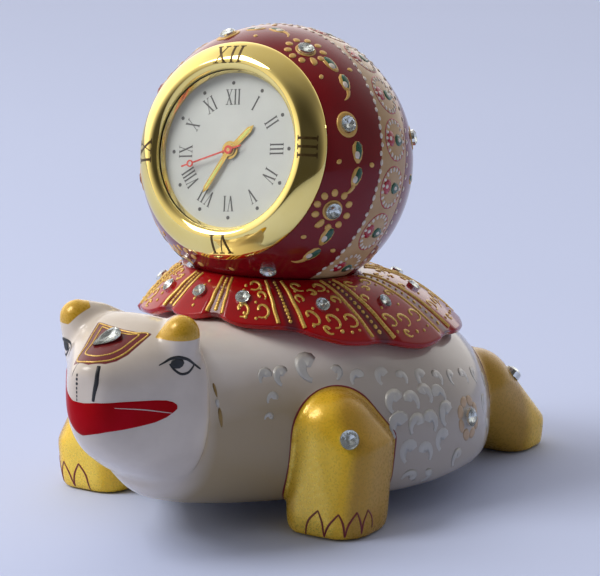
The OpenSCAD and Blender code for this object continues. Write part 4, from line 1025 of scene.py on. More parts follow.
def addBrilliant(bm, base, diameter, drawn, cupDeep):  # drawn over 1 makes a drop
    r, girdle, table, dish = diameter / 2, 0.2 * diameter, 0.35 * diameter, 0.03 * diameter
    cut = bmesh.new()
    rim = bmesh.ops.create_circle(cut, segments=16, radius=r * mm,
                                  matrix=Matrix.Translation((0, 0, girdle * mm)))["verts"]
    top = bmesh.ops.create_circle(cut, segments=8, radius=0.56 * r * mm, cap_ends=True,
                                  matrix=Matrix.Translation((0, 0, table * mm)))["verts"]
    rimEdges = ringEdges(rim)
    bmesh.ops.bridge_loops(cut, edges=rimEdges + ringEdges(top))
    low = vertsIn(bmesh.ops.extrude_edge_only(cut, edges=rimEdges)["geom"])
    bmesh.ops.pointmerge(cut, verts=low, merge_co=(0, 0, dish * mm))
    for f in cut.faces:
        f.material_index = 1 if f.calc_center_median().z < girdle * mm - 1e-7 else 0
    cup = bmesh.ops.create_cone(cut, cap_ends=True, segments=16, radius1=0.98 * r * mm, radius2=1.02 * r * mm,
                                depth=(girdle + cupDeep) * mm,
                                matrix=Matrix.Translation((0, 0, (girdle - cupDeep) / 2 * mm)))
    cupFaces = {f for v in cup["verts"] for f in v.link_faces}
    lid = [f for f in cupFaces if f.calc_center_median().z > (girdle - 0.01) * mm]
    middle = bmesh.ops.poke(cut, faces=lid)["verts"]
    bmesh.ops.translate(cut, verts=middle, vec=(0, 0, (dish - girdle - stones["cupGap"]) * mm))
    for v in cup["verts"]:
        v.co.z -= stones["cupGap"] * mm
    for v in cup["verts"] + middle:
        for f in v.link_faces:
            f.material_index = 2
    if drawn != 1.0:  # a drop: one end drawn out to a point
        for v in cut.verts:
            share = max(0, 0.5 - 0.5 * v.co.x / (r * mm))
            v.co.x = v.co.x - share * share * (drawn - 1) * 2 * r * mm
            v.co.y *= 1 - stones["dropTaper"] * share ** 2
    bmesh.ops.recalc_face_normals(cut, faces=cut.faces)
    bmesh.ops.transform(cut, matrix=base, verts=cut.verts)
    cut.to_mesh(dabMesh)
    cut.free()
    bm.from_mesh(dabMesh)


def stonePiece(name, places, seat, replaced):
    bm = bmesh.new()
    for base, diameter, drawn in places:
        addBrilliant(bm, base, diameter, drawn, stones["cup"] if drawn == 1 else stones["dropSeat"])
    materials = ["stoneGlass", "stoneFoil", seat]
    piece = newPiece(name, meshFrom(bm, name), materials, "figure", False)
    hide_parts(replaced)


def standing(point, direction):  # frame on a point with z along a direction
    z = Vector(direction).normalized()
    x = Vector((0, 0, 1)).cross(z).normalized()
    base = Matrix((x, z.cross(x), z)).transposed().to_4x4()
    base.translation = point
    return base


def ballFrame(polar, around, sink=0.0):
    point = ballPoint(polar, around)
    base = surfaceFrame(ballTree, point, ballPoint(polar + 1, around) - point)
    return base @ Matrix.Translation((0, 0, -sink * mm))


def shellFrame(a, s):
    point = shellPoint(radians(a), s)
    return surfaceFrame(shellTree, point, shellPoint(radians(a), s + 0.03) - point)


legPlaces, flankPlaces = [], []
footX, footWide = tortoise["legTrack"] / 2, tortoise["frontFoot"]
leftGem = Vector((tortoise["legShift"] + footX + 0.29 * footWide, frontLegY - 0.246 * footWide,
                  0.72 * tortoise["leftLeg"]))
rightGem = Vector((tortoise["legShift"] - footX - 0.44 * footWide, frontLegY + 1.6,
                   0.55 * tortoise["rightLeg"]))
legPlaces.append((standing(leftGem * mm, (0.72, -0.62, 0.3)), stones["leg"], 1))
legPlaces.append((standing(rightGem * mm, (-0.94, 0, 0.35)), stones["leg"], 1))
flankCentre = torsoPoint(stones["flankAt"], radians(stones["flankTurn"]))
for side in (-1, 1):
    rearWay = Vector((side * 0.4, 0.8, 1)).normalized()
    rear = Vector((side * (footX + 0.2 * tortoise["rearFoot"]), rearLegY - 0.2 * tortoise["rearFoot"],
                   0.75 * tortoise["rearLeg"])) * mm
    rear -= rearWay * stones["rearSink"] * mm
    legPlaces.append((standing(rear, rearWay), stones["leg"], 1))
    flankSeat = Vector((side * flankCentre.x, flankCentre.y, flankCentre.z))
    flankPlaces.append((standing(flankSeat, (side, 0.08, 0.12)), stones["leg"], 1))
dropUp = Vector(stones["dropUp"]).normalized()
dropAlong = Vector((sin(radians(stones["dropTurn"])), cos(radians(stones["dropTurn"])), 0))
dropAlong = (dropAlong - dropUp * dropAlong.dot(dropUp)).normalized()
dropBase = Matrix((dropAlong, dropUp.cross(dropAlong), dropUp)).transposed().to_4x4()
dropBase.translation = headPoint(stones["dropAt"], pi / 2) + Vector(stones["dropShift"]) * mm
stonePiece("foreheadDrop", [(dropBase, stones["drop"], stones["drawn"])], "maroonRim", "head_stone")
stonePiece("legRhinestones", legPlaces, "stoneFoil", "leg_stones")
stonePiece("flankRhinestones", flankPlaces, "stoneFoil", "flank_stones")
shellPlaces = [(shellFrame(a, stones["shellAt"]), stones["shell"], 1) for a in shell["panels"]]
stonePiece("shellRhinestones", shellPlaces, "stoneFoil", "shell_stones")
ringPlaces = []
for a in stones["ring"]:
    sink = stones["deep"] if a > stones["deepFrom"] else 0
    ringPlaces.append((ballFrame(stones["ringPolar"], a, sink), stones["ball"], 1))
stonePiece("ballRhinestones", ringPlaces, "stoneFoil", "ball_stones_front")
backPlaces = [(ballFrame(stones["backPolar"], a), stones["ball"], 1) for a in stones["back"]]
stonePiece("ballBackRhinestones", backPlaces, "stoneFoil", "ball_stones_back")
print("stones set")


# Brush work on the head: lids, pupils, nose lines and the gold edges of the forehead
def headSpot(bearing, z):
    a = radians(bearing)
    out = Vector((sin(a), -cos(a), 0))
    axis = Vector((0, face["centreY"], z)) * mm
    hit = tortoiseTree.ray_cast(axis + out * 60 * mm, -out)[0]
    return hit or axis + out * 15 * mm


def headStroke(points, widths, steps=6):
    path = smoothPath([headSpot(b, z) for b, z in points], steps)
    return path, taperOf(len(path), *widths)


brush = {
    "upperLid": [(48.2, 40.4), (52.8, 40.85), (58.6, 41.5), (64.5, 41.68), (70.9, 41.1), (77, 39.9),
                 (83, 38.6)],
    "lowerLid": [(57.0, 40.5), (60.3, 39.3), (65.4, 38.35), (71, 38.4), (74.8, 39.1), (77, 39.75)],
    "pupil": (63.0, 40.5), "nose": [(7.6, 41.0), (8.2, 39.6), (8.2, 38.0), (7.2, 36.2), (6.3, 34.3)],
    "dashes": [(39.3, 0.5), (38.5, 0.62), (37.6, 0.62), (36.7, 0.42), (35.9, 0.4), (35.1, 0.35), (34.4, 0.3)],
    "browMark": [(-7.5, 41.0), (-8.6, 39.7), (-9.6, 38.4)],
}
inkStrokes, pupils = [], bmesh.new()
for side in (-1, 1):
    inkStrokes.append(headStroke([(side * b, z) for b, z in brush["upperLid"]], (0.2, 0.8, 0.35)))
    inkStrokes.append(headStroke([(side * b, z) for b, z in brush["lowerLid"]], (0.4, 0.55, 0.45)))
    spot = headSpot(side * brush["pupil"][0], brush["pupil"][1])
    addDab(pupils, tortoiseTree, surfaceFrame(tortoiseTree, spot, Vector((0, 0, 1))), 2.3, 2.9, 0.1)
inkStrokes.append(headStroke(brush["nose"], (0.75, 0.95, 0.6)))
inkStrokes.append(headStroke(brush["browMark"], (0.12, 0.26, 0.1)))
for z, width in brush["dashes"]:
    inkStrokes.append(headStroke([(-4.8, z), (-4.7, z - 0.55)], (0.7 * width, 1.15 * width, 0.6 * width), 3))
strokePiece("faceLines", inkStrokes, tortoiseTree, 0.25, "blackInk")
newPiece("pupils", meshFrom(pupils, "pupils"), "blackInk", "figure")


def browStroke(shrink, width):  # one gold edge round the forehead field
    middle = Vector(face["foreheadMiddle"])
    ring = [(Vector(p) - middle) * shrink + middle for p in face["forehead"]]
    points = []
    for p in ring + ring[:1]:
        hit = tortoiseTree.ray_cast(Vector((p.x, p.y, 70)) * mm, Vector((0, 0, -1)))[0]
        points.append(hit)
    path = smoothPath(points, 5)
    return path, [width] * len(path)


browEdges = [browStroke(0.90, 0.42), browStroke(0.68, 0.40)]
strokePiece("browGold", browEdges, tortoiseTree, 0.5, "goldLine")

# Mouth: a red field between a lower and an upper outline, bearing from the snout in degrees and height in mm
mouth = {
    "upper": [(-41, 37.5), (-33, 37.0), (-24, 36.2), (-14, 35.0), (-8, 34.0), (0, 33.9), (8, 34.3),
              (21, 34.3), (34, 34.1), (45, 33.9), (53, 33.6), (58, 33.1), (61, 32.5), (62.2, 31.9)],
    "lower": [(-41, 37.3), (-35, 34.6), (-28, 32.2), (-16, 29.0), (-9, 27.0), (-4, 26.4), (5, 27.2),
              (14, 27.9), (23, 28.2), (33, 28.6), (44, 29.1), (53, 29.9), (58, 30.7), (61, 31.3),
              (62.2, 31.7)],
    "lip": [(18, 33.0), (36, 32.1), (57, 30.8)], "across": 90, "up": 14, "lift": 0.07, "sunkEdge": 0.06,
}
bm = bmesh.new()
bmesh.ops.create_grid(bm, x_segments=mouth["across"], y_segments=mouth["up"], size=1)
lowAt, lowZ = zip(*mouth["lower"])
highAt, highZ = zip(*mouth["upper"])
for v in bm.verts:
    lift = -mouth["sunkEdge"] if v.is_boundary else mouth["lift"]
    at = lowAt[0] + (lowAt[-1] - lowAt[0]) * (v.co.x + 1) / 2
    a, b = np.interp(at, lowAt, lowZ), np.interp(at, highAt, highZ)
    spot, normal = tortoiseTree.find_nearest(headSpot(at, a + (b - a) * (v.co.y + 1) / 2))[:2]
    v.co = spot + normal * lift * mm
bmesh.ops.recalc_face_normals(bm, faces=bm.faces)
mouthMesh = meshFrom(bm, "mouthField")
mouthTree = treeOf(mouthMesh)
newPiece("mouthField", mouthMesh, "mouthRed", "figure")
lipStroke = headStroke(mouth["lip"], (0.12, 0.24, 0.14))
strokePiece("lipLine", [lipStroke], mouthTree, 0.35, "pearl")

# Bronze drops and a pearl in the crease behind each cheek: y, height, length, width and kind
creases = [(-37.6, 32.0, 3.2, 1.0, "drop"), (-37.5, 29.4, 1.9, 1.3, "pearl"), (-37.0, 26.4, 4.4, 1.3, "drop")]
creaseMarks = {"drop": bmesh.new(), "pearl": bmesh.new()}
for side in (-1, 1):
    for y, z, length, width, kind in creases:
        hit = tortoiseTree.ray_cast(Vector((side * 60, y - 14, z)) * mm, Vector((-side, 0.3, 0)))[0]
        spot = hit if hit is not None and hit.y > -40 * mm else Vector((side * 13.5, y, z)) * mm
        base = surfaceFrame(tortoiseTree, spot, Vector((0, 0.1, -1)))
        addDab(creaseMarks[kind], tortoiseTree, base, length, width, 0.2, 0.5)
newPiece("creaseDrops", meshFrom(creaseMarks["drop"], "creaseDrops"), "bronzeDab", "figure")
newPiece("creasePearls", meshFrom(creaseMarks["pearl"], "creasePearls"), "pearl", "figure")


# Dark red line where the gilt legs meet the stone
def contourPaths(mesh, values):
    bm = bmesh.new()
    bm.from_mesh(mesh)
    spots, links = {}, {}
    for e in bm.edges:
        a, b = values[e.verts[0].index], values[e.verts[1].index]
        if (a > 0) != (b > 0):
            spots[e.index] = e.verts[0].co.lerp(e.verts[1].co, a / (a - b))
    for f in bm.faces:
        hits = [e.index for e in f.edges if e.index in spots]
        if len(hits) == 2:
            links.setdefault(hits[0], []).append(hits[1])
            links.setdefault(hits[1], []).append(hits[0])
    bm.free()
    paths, seen = [], set()
    for start in sorted(links, key=lambda k: len(links[k])):
        if start in seen:
            continue
        path, here = [], start
        while here is not None:
            seen.add(here)
            path.append(spots[here])
            here = next((k for k in links[here] if k not in seen), None)
        paths.append(path)
    return paths


legLine = {"shortest": 30, "smoothings": 6, "foot": 0.8, "width": 0.34, "waver": 0.08}
outlineStrokes = []
for path in contourPaths(tortoiseMesh, legDepth):
    if len(path) < legLine["shortest"]:
        continue
    for _ in range(legLine["smoothings"]):  # evens out the steps of the mesh
        path = path[:1] + [(a + b * 2 + c) / 4 for a, b, c in zip(path, path[1:], path[2:])] + path[-1:]
    path = [p for p in path[::2] if p.z > legLine["foot"] * mm]
    widths = [legLine["width"] + legLine["waver"] * sin(0.31 * k) for k in range(len(path))]
    outlineStrokes.append((path, widths))
strokePiece("legOutlines", outlineStrokes, tortoiseTree, 0.35, "darkRedLine")

# Claws: dark red arches round the front of each forefoot, bearing and height
claws = [(-103, 0.4), (-97, 3.6), (-84, 5.9), (-77, 3.4), (-75, 0.6), (-69, 3.2), (-57, 5.6), (-52, 3.6),
         (-50, 0.8), (-46, 3.4), (-35, 5.9), (-31, 3.8), (-29, 1.2), (-27, 3.4), (-19, 5.9), (-12, 4.2),
         (-10, 1.8)]
clawStrokes = []
for side in (-1, 1):
    x = side * tortoise["legTrack"] / 2 + tortoise["legShift"]
    for k in range(0, len(claws) - 2, 2):
        points = []
        for bearing, z in claws[k:k + 3]:
            out = Vector((side * cos(radians(bearing)), sin(radians(bearing)), 0))
            start = Vector((x, frontLegY, z)) * mm
            points.append(tortoiseTree.ray_cast(start + out * 0.03, -out)[0])
        path = smoothPath(points, 5)
        clawStrokes.append((path, taperOf(len(path), 0.34, 0.5, 0.38)))
strokePiece("clawLines", clawStrokes, tortoiseTree, 0.4, "darkRedLine")
print("face and claws painted")

# Pearl commas over the flanks: y, height, size, side of the head, lean in degrees
flank = {
    "commas": [(-15.6, 32.4, 5.2, 1, -20), (-11.5, 31.1, 2.6, -1, 30), (-8.5, 29.8, 3.0, 1, 20),
               (-3.6, 29.4, 3.4, 1, 0), (0.8, 28.5, 2.8, -1, 0), (5.8, 27.5, 3.4, 1, 0),
               (10.5, 26.6, 3.0, -1, 10), (15.5, 25.6, 3.0, 1, 0), (21.0, 24.6, 3.2, -1, 0),
               (27.0, 23.4, 3.0, 1, 0), (-3.6, 24.2, 4.2, 1, 0), (0.6, 23.8, 3.8, -1, -10),
               (4.7, 24.4, 3.8, -1, 0), (8.7, 23.6, 3.8, -1, -20), (-3.9, 19.4, 4.6, 1, 0),
               (-0.1, 19.0, 4.0, 1, 20), (4.0, 18.8, 4.0, -1, 0), (8.9, 19.4, 4.4, 1, 0),
               (-2.2, 13.6, 4.2, 1, 0), (2.1, 12.8, 3.8, -1, -10), (6.7, 14.4, 4.0, 1, 0),
               (-2.0, 8.3, 3.2, 1, 60), (2.6, 7.6, 2.8, -1, 40), (11.5, 9.4, 3.4, 1, 10),
               (27.5, 17.0, 3.4, 1, 0), (29.0, 11.5, 3.4, -1, 0), (33.5, 20.5, 3.0, 1, 0),
               (34.5, 14.5, 3.0, -1, 0), (-24.9, 32.1, 3.0, 1, 30), (-21.4, 31.6, 3.4, 1, -10),
               (-24.9, 27.8, 2.4, 1, 40), (-26.3, 24.3, 1.8, 1, 60)],
    "petalAt": 3.8, "petals": 8, "scale": 1.1,
}
pearlStrokes, petals = [], bmesh.new()


def flankSpot(side, y, z):
    return tortoiseTree.ray_cast(Vector((side * 80, y, z)) * mm, Vector((-side, 0, 0)))[0]


def commaStroke(base, size, hand):  # fat head at the top, tail drawn round to the foot
    points, widths = [], []
    for k in range(11):
        u = k / 10
        a = radians(25 + 215 * u)
        points.append(base @ (Vector((sin(a) * 0.42, -hand * cos(a) * 0.30, 0)) * size * mm))
        widths.append(size * (0.22 + 0.58 * max(0, 1 - 1.15 * u) ** 0.8 * min(1, 0.45 + 4 * u)))
    return points, widths


for side in (-1, 1):
    for y, z, size, hand, lean in flank["commas"]:
        hit = flankSpot(side, y, z)
        along = Vector((0, sin(radians(lean)), cos(radians(lean))))
        base = surfaceFrame(tortoiseTree, hit, along)
        pearlStrokes.append(commaStroke(base, flank["scale"] * size, hand * side))
    middle = Vector((side * flankCentre.x, flankCentre.y, flankCentre.z))
    for k in range(flank["petals"]):
        a = 2 * pi * (k + 0.35) / flank["petals"]
        out = Vector((0, cos(a), sin(a)))
        base = surfaceFrame(tortoiseTree, middle + out * flank["petalAt"] * mm, out)
        addDab(petals, tortoiseTree, base, 2.5 + 0.3 * sin(3 * k), 3.2, 0.07, -0.1)
strokePiece("flankPearls", pearlStrokes, tortoiseTree, 0.045, "pearl")
newPiece("flankPetals", meshFrom(petals, "flankPetals"), "tanPetal", "figure")
print("flanks painted:", len(pearlStrokes), "commas")

# Shell ornament: paired raised lines, beads between them, curls and dots where a panel is broad
ornament = {
    "lineAt": 0.365, "beads": 13, "broad": 28, "curlScale": 1.2, "narrowBeads": [0.22, 0.34, 0.66, 0.80],
    # share of the way to the line, place down the panel, size, hand, turn in degrees
    "curls": [(-0.48, 0.17, 1.25, 1, 60), (0.45, 0.18, 1.3, -1, 60), (-0.02, 0.29, 0.85, 1, 200),
              (-0.66, 0.42, 0.95, 1, 120), (0.66, 0.42, 0.95, -1, 120), (-0.62, 0.71, 1.6, -1, 70),
              (0.0, 0.72, 1.55, -1, 80), (0.62, 0.71, 1.55, -1, 60), (-0.30, 0.87, 0.9, 1, 40)],
    "dots": [(-0.7, 0.28, 0.7), (0.7, 0.28, 0.7), (-0.42, 0.57, 0.75), (0.45, 0.57, 0.75), (0.12, 0.87, 1.0),
             (0.42, 0.88, 0.8), (0.7, 0.86, 0.7), (-0.7, 0.87, 0.85)],
}


def shellSpot(a, s, across=0.0, down=0.0):  # a point moved across and down the shell, in mm
    here = shellPoint(radians(a), s)
    radius = hypot(here.x, here.y - shellTopY * mm - shell["hemY"] * s * mm) / mm
    length = (shellPoint(radians(a), 1) - shellPoint(radians(a), 0)).length / mm
    return shellPoint(radians(a + degrees(across / radius)), s + down / length)


def curlStroke(a, s, size, hand, turn):
    points, widths = [], []
    for k in range(15):
        u = k / 14
        angle = radians(turn + 310 * u)
        r = size * (1 - 0.62 * u)
        points.append(shellSpot(a, s, hand * r * cos(angle), r * sin(angle)))
        widths.append(0.42 + 0.36 * u * u + (0.16 if 0.15 < u < 0.6 else 0))
    return points, widths


lineStrokes, curlStrokes, beads = [], [], bmesh.new()
for i in range(len(shell["panels"])):
    a, after = panelEnds(i)
    before = panelEnds(i - 1)[0] - (0 if i else 360)
    pitch = after - a
    for reach in (before - a, pitch):
        points = []
        for k in range(21):
            bearing = a + ornament["lineAt"] * reach + 0.12 * sin(7 * k + a)
            points.append(shellPoint(radians(bearing), 0.05 + 0.91 * k / 20))
        lineStrokes.append((points, taperOf(21, 0.7, 0.85, 0.95)))
    for k in range(ornament["beads"]):
        s = 0.10 + 0.80 * k / (ornament["beads"] - 1)
        size = 0.6 + 0.3 * (k / ornament["beads"]) + 0.12 * sin(5 * k + a)
        addDab(beads, shellTree, shellFrame(a + 0.5 * pitch, s), size * 1.15, size, 0.26)
    left, right = ornament["lineAt"] * (a - before), ornament["lineAt"] * pitch
    broad = ornament["lineAt"] * ornament["broad"]
    if min(left, right) < broad:
        for s in ornament["narrowBeads"]:
            addDab(beads, shellTree, shellFrame(a + 1.2 * sin(9 * s), s), 0.9, 0.7, 0.22)
    for share, s, size, hand, turn in ornament["curls"]:
        reach = left if share < 0 else right
        if reach >= broad:
            curlStrokes.append(curlStroke(a + share * reach, s, ornament["curlScale"] * size, hand, turn))
    for share, s, size in ornament["dots"]:
        reach = left if share < 0 else right
        if reach >= broad:
            addDab(beads, shellTree, shellFrame(a + share * reach, s), size, size * 0.9, 0.24)
strokePiece("shellLines", lineStrokes, shellTree, 0.75, "goldLine")
strokePiece("shellCurls", curlStrokes, shellTree, 0.55, "goldLine")
newPiece("shellBeads", meshFrom(beads, "shellBeads"), "goldLine", "figure")
print("shell painted")

# Ball ornament, by the angle from the dial axis and the angle round it
ballMarks = {
    "dots": 96, "dotsAt": 79.4, "scallops": 18, "scallopStart": 14.5, "scallopAt": 90, "scallopDots": 18,
    "dotsHalf": (6.7, 7.7), "lineHalf": (7.8, 8.8), "petals": 10, "curledPetal": 7,
    "backRings": [(101, 72, 0.95), (128, 48, 1.0), (150, 28, 1.0)],
}
golds, whites, greens, reds = bmesh.new(), bmesh.new(), bmesh.new(), bmesh.new()
ringStrokes, scallopStrokes, tailStrokes = [], [], []
seatAxis = Matrix.Rotation(-radians(shell["tilt"]), 3, "X") @ Vector((0, 0, 1))
ballMiddle = Vector((0, ball["y"], ball["z"])) * mm
degree = ball["radius"] * pi / 180  # mm of surface to one degree


def clearOfSeat(polar, around, margin=1.2):
    return (ballPoint(polar, around) - ballMiddle).dot(seatAxis) > (margin - ball["seatAt"]) * mm


def ballDab(bm, polar, around, turn, length, width, height, taper=0.0, bend=0.0):
    if clearOfSeat(polar, around):
        base = ballFrame(polar, around) @ Matrix.Rotation(radians(turn), 4, "Z")
        addDab(bm, ballTree, base, length, width, height, taper, bend)


def beside(polar, around, turn, ahead, across=0.0):  # a place some mm along a mark's own direction
    t = radians(turn)
    down = (ahead * cos(t) - across * sin(t)) / degree
    aside = (ahead * sin(t) + across * cos(t)) / degree / sin(radians(polar))
    return polar + down, around + aside


def leaf(polar, around, turn, size=1.0, tail=False):  # gold drop with a green drop in it and a white dot
    ballDab(golds, polar, around, turn, 5.0 * size, 3.3 * size, 0.12, 0.35)
    place = beside(polar, around, turn, -0.3 * size, 0.25 * size)
    ballDab(greens, *place, turn, 4.1 * size, 2.2 * size, 0.2, 0.35)
    place = beside(polar, around, turn, 0.5 * size, -0.1 * size)
    ballDab(whites, *place, turn, 1.9 * size, 1.4 * size, 0.28)
    if tail and clearOfSeat(polar, around, 4):
        path = [(2.0, 0.2), (3.0, 0.0), (3.9, -0.5), (4.5, -1.3)]
        points = smoothPath([ballPoint(*beside(polar, around, turn, u * size, v * size)) for u, v in path], 4)
        tailStrokes.append((points, taperOf(len(points), 1.1, 0.75, 0.2)))


def rimStroke(polar, around, tall, wide, width):  # an oval drawn round a stone, half sizes in mm
    turns = [2 * pi * j / 28 for j in range(29)]
    points = [ballPoint(*beside(polar, around, 0, tall * cos(t), wide * sin(t))) for t in turns]
    if clearOfSeat(polar, around, 3.4):
        ringStrokes.append((points, [width] * len(points)))


for k, around in enumerate(stones["ring"]):
    if k % 2:  # flower of dabs, one of them a longer curl
        rimStroke(stones["ringPolar"], around, 1.95, 1.95, 0.55)
        for j in range(ballMarks["petals"]):
            a = 360 * j / ballMarks["petals"]
            place = beside(stones["ringPolar"], around, a, 3.75)
            length, bend = (2.6, 0.35) if j == ballMarks["curledPetal"] else (1.75, 0)
            ballDab(golds, *place, a, length, 1.6, 0.16, 0.05, bend)
    else:  # plain gold oval
        rimStroke(stones["ringPolar"], around, 1.95, 2.25, 1.05)
    leaf(66.0, around - 12.5, -84)
    leaf(67.0, around - 23.5, -100, 0.95, True)
    ballDab(golds, 74.0, around - 17, 0, 1.4, 1.1, 0.16)
    ballDab(golds, 57.6, around - 18, 40, 1.3, 1.0, 0.16)
for j in range(ballMarks["dots"]):  # ring of white dots at the edge of the tan band
    polar, around = ballMarks["dotsAt"] + 0.4 * sin(2.4 * j), 360 * j / ballMarks["dots"]
    ballDab(whites, polar, around, 90, 1.2 + 0.2 * sin(1.7 * j), 0.85, 0.22)
bandAt = ballMarks["scallopAt"]
dotsTall, dotsWide = ballMarks["dotsHalf"]
lineTall, lineWide = ballMarks["lineHalf"]
for k in range(ballMarks["scallops"]):
    middle = 360 * k / ballMarks["scallops"] + ballMarks["scallopStart"]
    for j in range(ballMarks["scallopDots"]):  # dotted oval
        a = 360 * j / ballMarks["scallopDots"]
        polar, around = bandAt + dotsTall * cos(radians(a)), middle + dotsWide * sin(radians(a))
        ballDab(whites, polar, around, a, 1.1, 0.75, 0.18)
    turns = [2 * pi * j / 32 for j in range(33)]
    oval = [ballPoint(bandAt + lineTall * cos(t), middle + lineWide * sin(t)) for t in turns]
    if clearOfSeat(bandAt, middle, 6):
        scallopStrokes.append((oval, [0.32] * len(oval)))
    ballDab(reds, 85.9, middle, 0, 2.9, 2.9, 0.16, -0.4)
    ballDab(whites, 85.7, middle, 0, 1.3, 1.2, 0.24)
    ballDab(greens, 92.5, middle, 0, 3.4, 3.3, 0.16, 0.45)
    ballDab(whites, 92.7, middle, 0, 1.6, 1.4, 0.26, 0.5)
for polar, count, size in ballMarks["backRings"]:
    for j in range(count):
        ballDab(whites, polar, 360 * j / count, 90, size * 1.2, size * 0.85, 0.22)
for k, around in enumerate(range(0, 360, 45)):
    leaf(112 if k % 2 else 118, around + 45, 0, 0.85)
    leaf(139, around + 22, 180, 0.9)
    ballDab(golds, 163, around, 180, 3.6, 2.0, 0.16, 0.5)
for around in stones["back"]:
    rimStroke(stones["backPolar"], around, 1.95, 2.2, 0.8)
ballDab(golds, 179, 0, 0, 3.2, 3.2, 0.3)
newPiece("ballGold", meshFrom(golds, "ballGold"), "goldDab", "figure")
newPiece("ballWhiteDots", meshFrom(whites, "ballWhiteDots"), "whiteDot", "figure")
newPiece("ballGreenDrops", meshFrom(greens, "ballGreenDrops"), "greenDrop", "figure")
newPiece("ballRedDrops", meshFrom(reds, "ballRedDrops"), "redDrop", "figure")
strokePiece("ballStoneRims", ringStrokes, ballTree, 0.4, "goldDab")
strokePiece("ballLeafTails", tailStrokes, ballTree, 0.3, "goldDab")
strokePiece("ballScallops", scallopStrokes, ballTree, 0.35, "redDrop")
print("ball painted")

# Finishes of the solids that stay as they are
solidFinish = {
    "crystal": "crystalGlass", "reflector_ring": "polishedGold", "dial": "dialSilver",
    "case_cup": "whiteCase", "grip_ring": "blackRubber", "hour_hand": "handGold", "minute_hand": "handGold",
    "second_hand": "redHand", "main_plate": "whiteCase", "train_bridge": "steel", "hour_wheel": "brass",
    "minute_wheel": "brass", "cannon_pinion": "steel", "centre_wheel": "brass", "third_wheel": "brass",
    "second_wheel": "brass", "intermediate_wheel": "brass", "rotor_pinion": "ivoryPinion",
    "rotor_magnet": "darkSteel", "stator": "steel", "coil_core": "steel", "coil_winding": "copperWire",
    "circuit_board": "boardGreen", "chip": "chipBlack", "quartz_can": "steel", "battery": "steel",
    "positive_contact": "brass", "negative_contact": "brass", "back_cover": "whiteCase",
    "battery_cap": "whiteCase", "set_knob": "blackRubber", "case_screws": "steel", "bridge_screws": "steel",
}
for name, material in solidFinish.items():
    nodes[name].data.materials.clear()
    nodes[name].data.materials.append(finishes[material])
print("solids finished:", len(solidFinish))

# Floor, light and camera
stage = {
    "floor": (0.565, 0.645, 0.90), "floorFar": (0.61, 0.69, 0.95), "sky": (1.04, 1.0, 0.98),
    "bright": (-0.83, 0.42, 0.36), "skyDim": 0.32, "skyBright": 1.4, "skyFade": (-0.3, 0.8),
    "viewer": (0.516, -0.824, 0.233), "viewerDim": 0.18, "viewerFade": (0.5, 0.9),
    "zenithDim": 0.42, "zenithFade": (0.5, 0.92), "lampAt": (-0.65, -0.62, 1.0), "lampSize": (0.5, 0.6),
    "lampPower": 9.2, "lampColour": (1.0, 0.97, 0.93), "lampAim": (0, 0, 0.05),
    "azimuth": 32.05, "elevation": 13.46, "distance": 600, "target": (4.12, 8.38, 42.44), "focal": 2819.92,
    "frameWidth": 600,
}


def makeFloor():
    bm = bmesh.new()
    bmesh.ops.create_grid(bm, x_segments=2, y_segments=2, size=5, matrix=Matrix.Translation((0, 0, -0.0002)))
    floorMesh = meshFrom(bm, "floor")
    floor = bpy.data.objects.new("floor", floorMesh)
    bpy.context.collection.objects.link(floor)
    material, tree, shader = startMaterial("floorPaper")
    clouds = useGroup(tree, mottle, Scale=1.4, Spread=0.3, Colour_A=(*stage["floor"], 1),
                      Colour_B=(*stage["floorFar"], 1))
    wire(tree, clouds, "Colour", shader, "Base Color")
    shader.inputs["Roughness"].default_value = 0.7
    shader.inputs["Specular IOR Level"].default_value = 0.2
    floorMesh.materials.append(material)


def fadeNode(tree, span, start, end):
    return addNode(tree, "ShaderNodeMapRange", {"interpolation_type": "SMOOTHSTEP"}, From_Min=span[0],
                   From_Max=span[1], To_Min=start, To_Max=end)


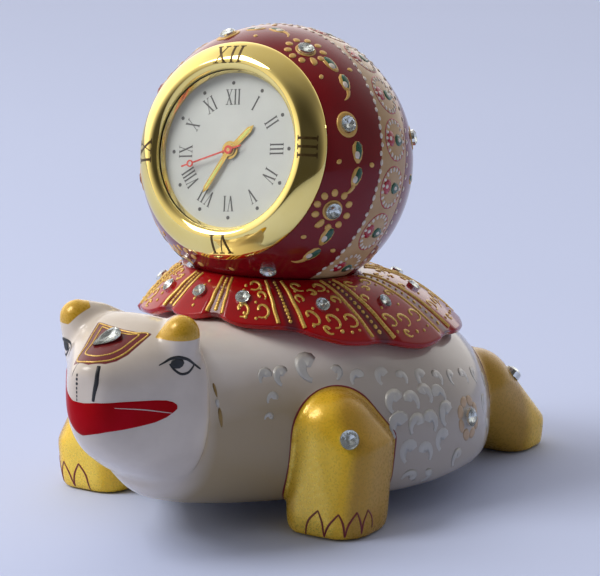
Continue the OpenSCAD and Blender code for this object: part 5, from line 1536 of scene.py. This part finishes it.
def makeWorld():  # bright on the left and behind the object, dim overhead, on the right and at the viewer
    world = bpy.data.worlds.new("studio")
    bpy.context.scene.world = world
    world.use_nodes = True
    tree = world.node_tree
    back = tree.nodes["Background"]
    back.inputs["Color"].default_value = (*stage["sky"], 1)
    coords = addNode(tree, "ShaderNodeTexCoord")
    side = addNode(tree, "ShaderNodeVectorMath", {"operation": "DOT_PRODUCT"})
    side.inputs[1].default_value = stage["bright"]
    level = fadeNode(tree, stage["skyFade"], stage["skyDim"], stage["skyBright"])
    ahead = addNode(tree, "ShaderNodeVectorMath", {"operation": "DOT_PRODUCT"})
    ahead.inputs[1].default_value = stage["viewer"]
    dark = fadeNode(tree, stage["viewerFade"], 1.0, stage["viewerDim"])
    split = addNode(tree, "ShaderNodeSeparateXYZ")
    ceiling = fadeNode(tree, stage["zenithFade"], 1.0, stage["zenithDim"])
    shade = addNode(tree, "ShaderNodeMath", {"operation": "MULTIPLY"})
    strength = addNode(tree, "ShaderNodeMath", {"operation": "MULTIPLY"})
    wire(tree, coords, "Generated", side, 0)
    wire(tree, coords, "Generated", ahead, 0)
    wire(tree, side, "Value", level, "Value")
    wire(tree, ahead, "Value", dark, "Value")
    wire(tree, coords, "Generated", split, "Vector")
    wire(tree, split, "Z", ceiling, "Value")
    wire(tree, dark, "Result", shade, 0)
    wire(tree, ceiling, "Result", shade, 1)
    wire(tree, level, "Result", strength, 0)
    wire(tree, shade, 0, strength, 1)
    wire(tree, strength, 0, back, "Strength")


def makeLamp():
    lamp = bpy.data.lights.new("window", "AREA")
    lamp.shape = "RECTANGLE"
    lamp.size, lamp.size_y = stage["lampSize"]
    lamp.energy, lamp.color = stage["lampPower"], stage["lampColour"]
    holder = bpy.data.objects.new("window", lamp)
    bpy.context.collection.objects.link(holder)
    holder.location = stage["lampAt"]
    aim = Vector(stage["lampAim"]) - Vector(stage["lampAt"])
    holder.rotation_euler = aim.to_track_quat("-Z", "Y").to_euler()


def makeCamera():
    az, el = radians(stage["azimuth"]), radians(stage["elevation"])
    back = Vector((sin(az) * cos(el), -cos(az) * cos(el), sin(el)))
    camera = bpy.data.cameras.new("camera")
    camera.sensor_width = 36
    camera.lens = stage["focal"] * camera.sensor_width / stage["frameWidth"]
    camera.clip_start = 0.01
    holder = bpy.data.objects.new("camera", camera)
    bpy.context.collection.objects.link(holder)
    holder.location = Vector(stage["target"]) * mm + back * stage["distance"] * mm
    holder.rotation_euler = back.to_track_quat("Z", "Y").to_euler()
    bpy.context.scene.camera = holder


makeFloor()
makeWorld()
makeLamp()
makeCamera()
bpy.context.scene.view_settings.view_transform = "Standard"
print("stage ready")
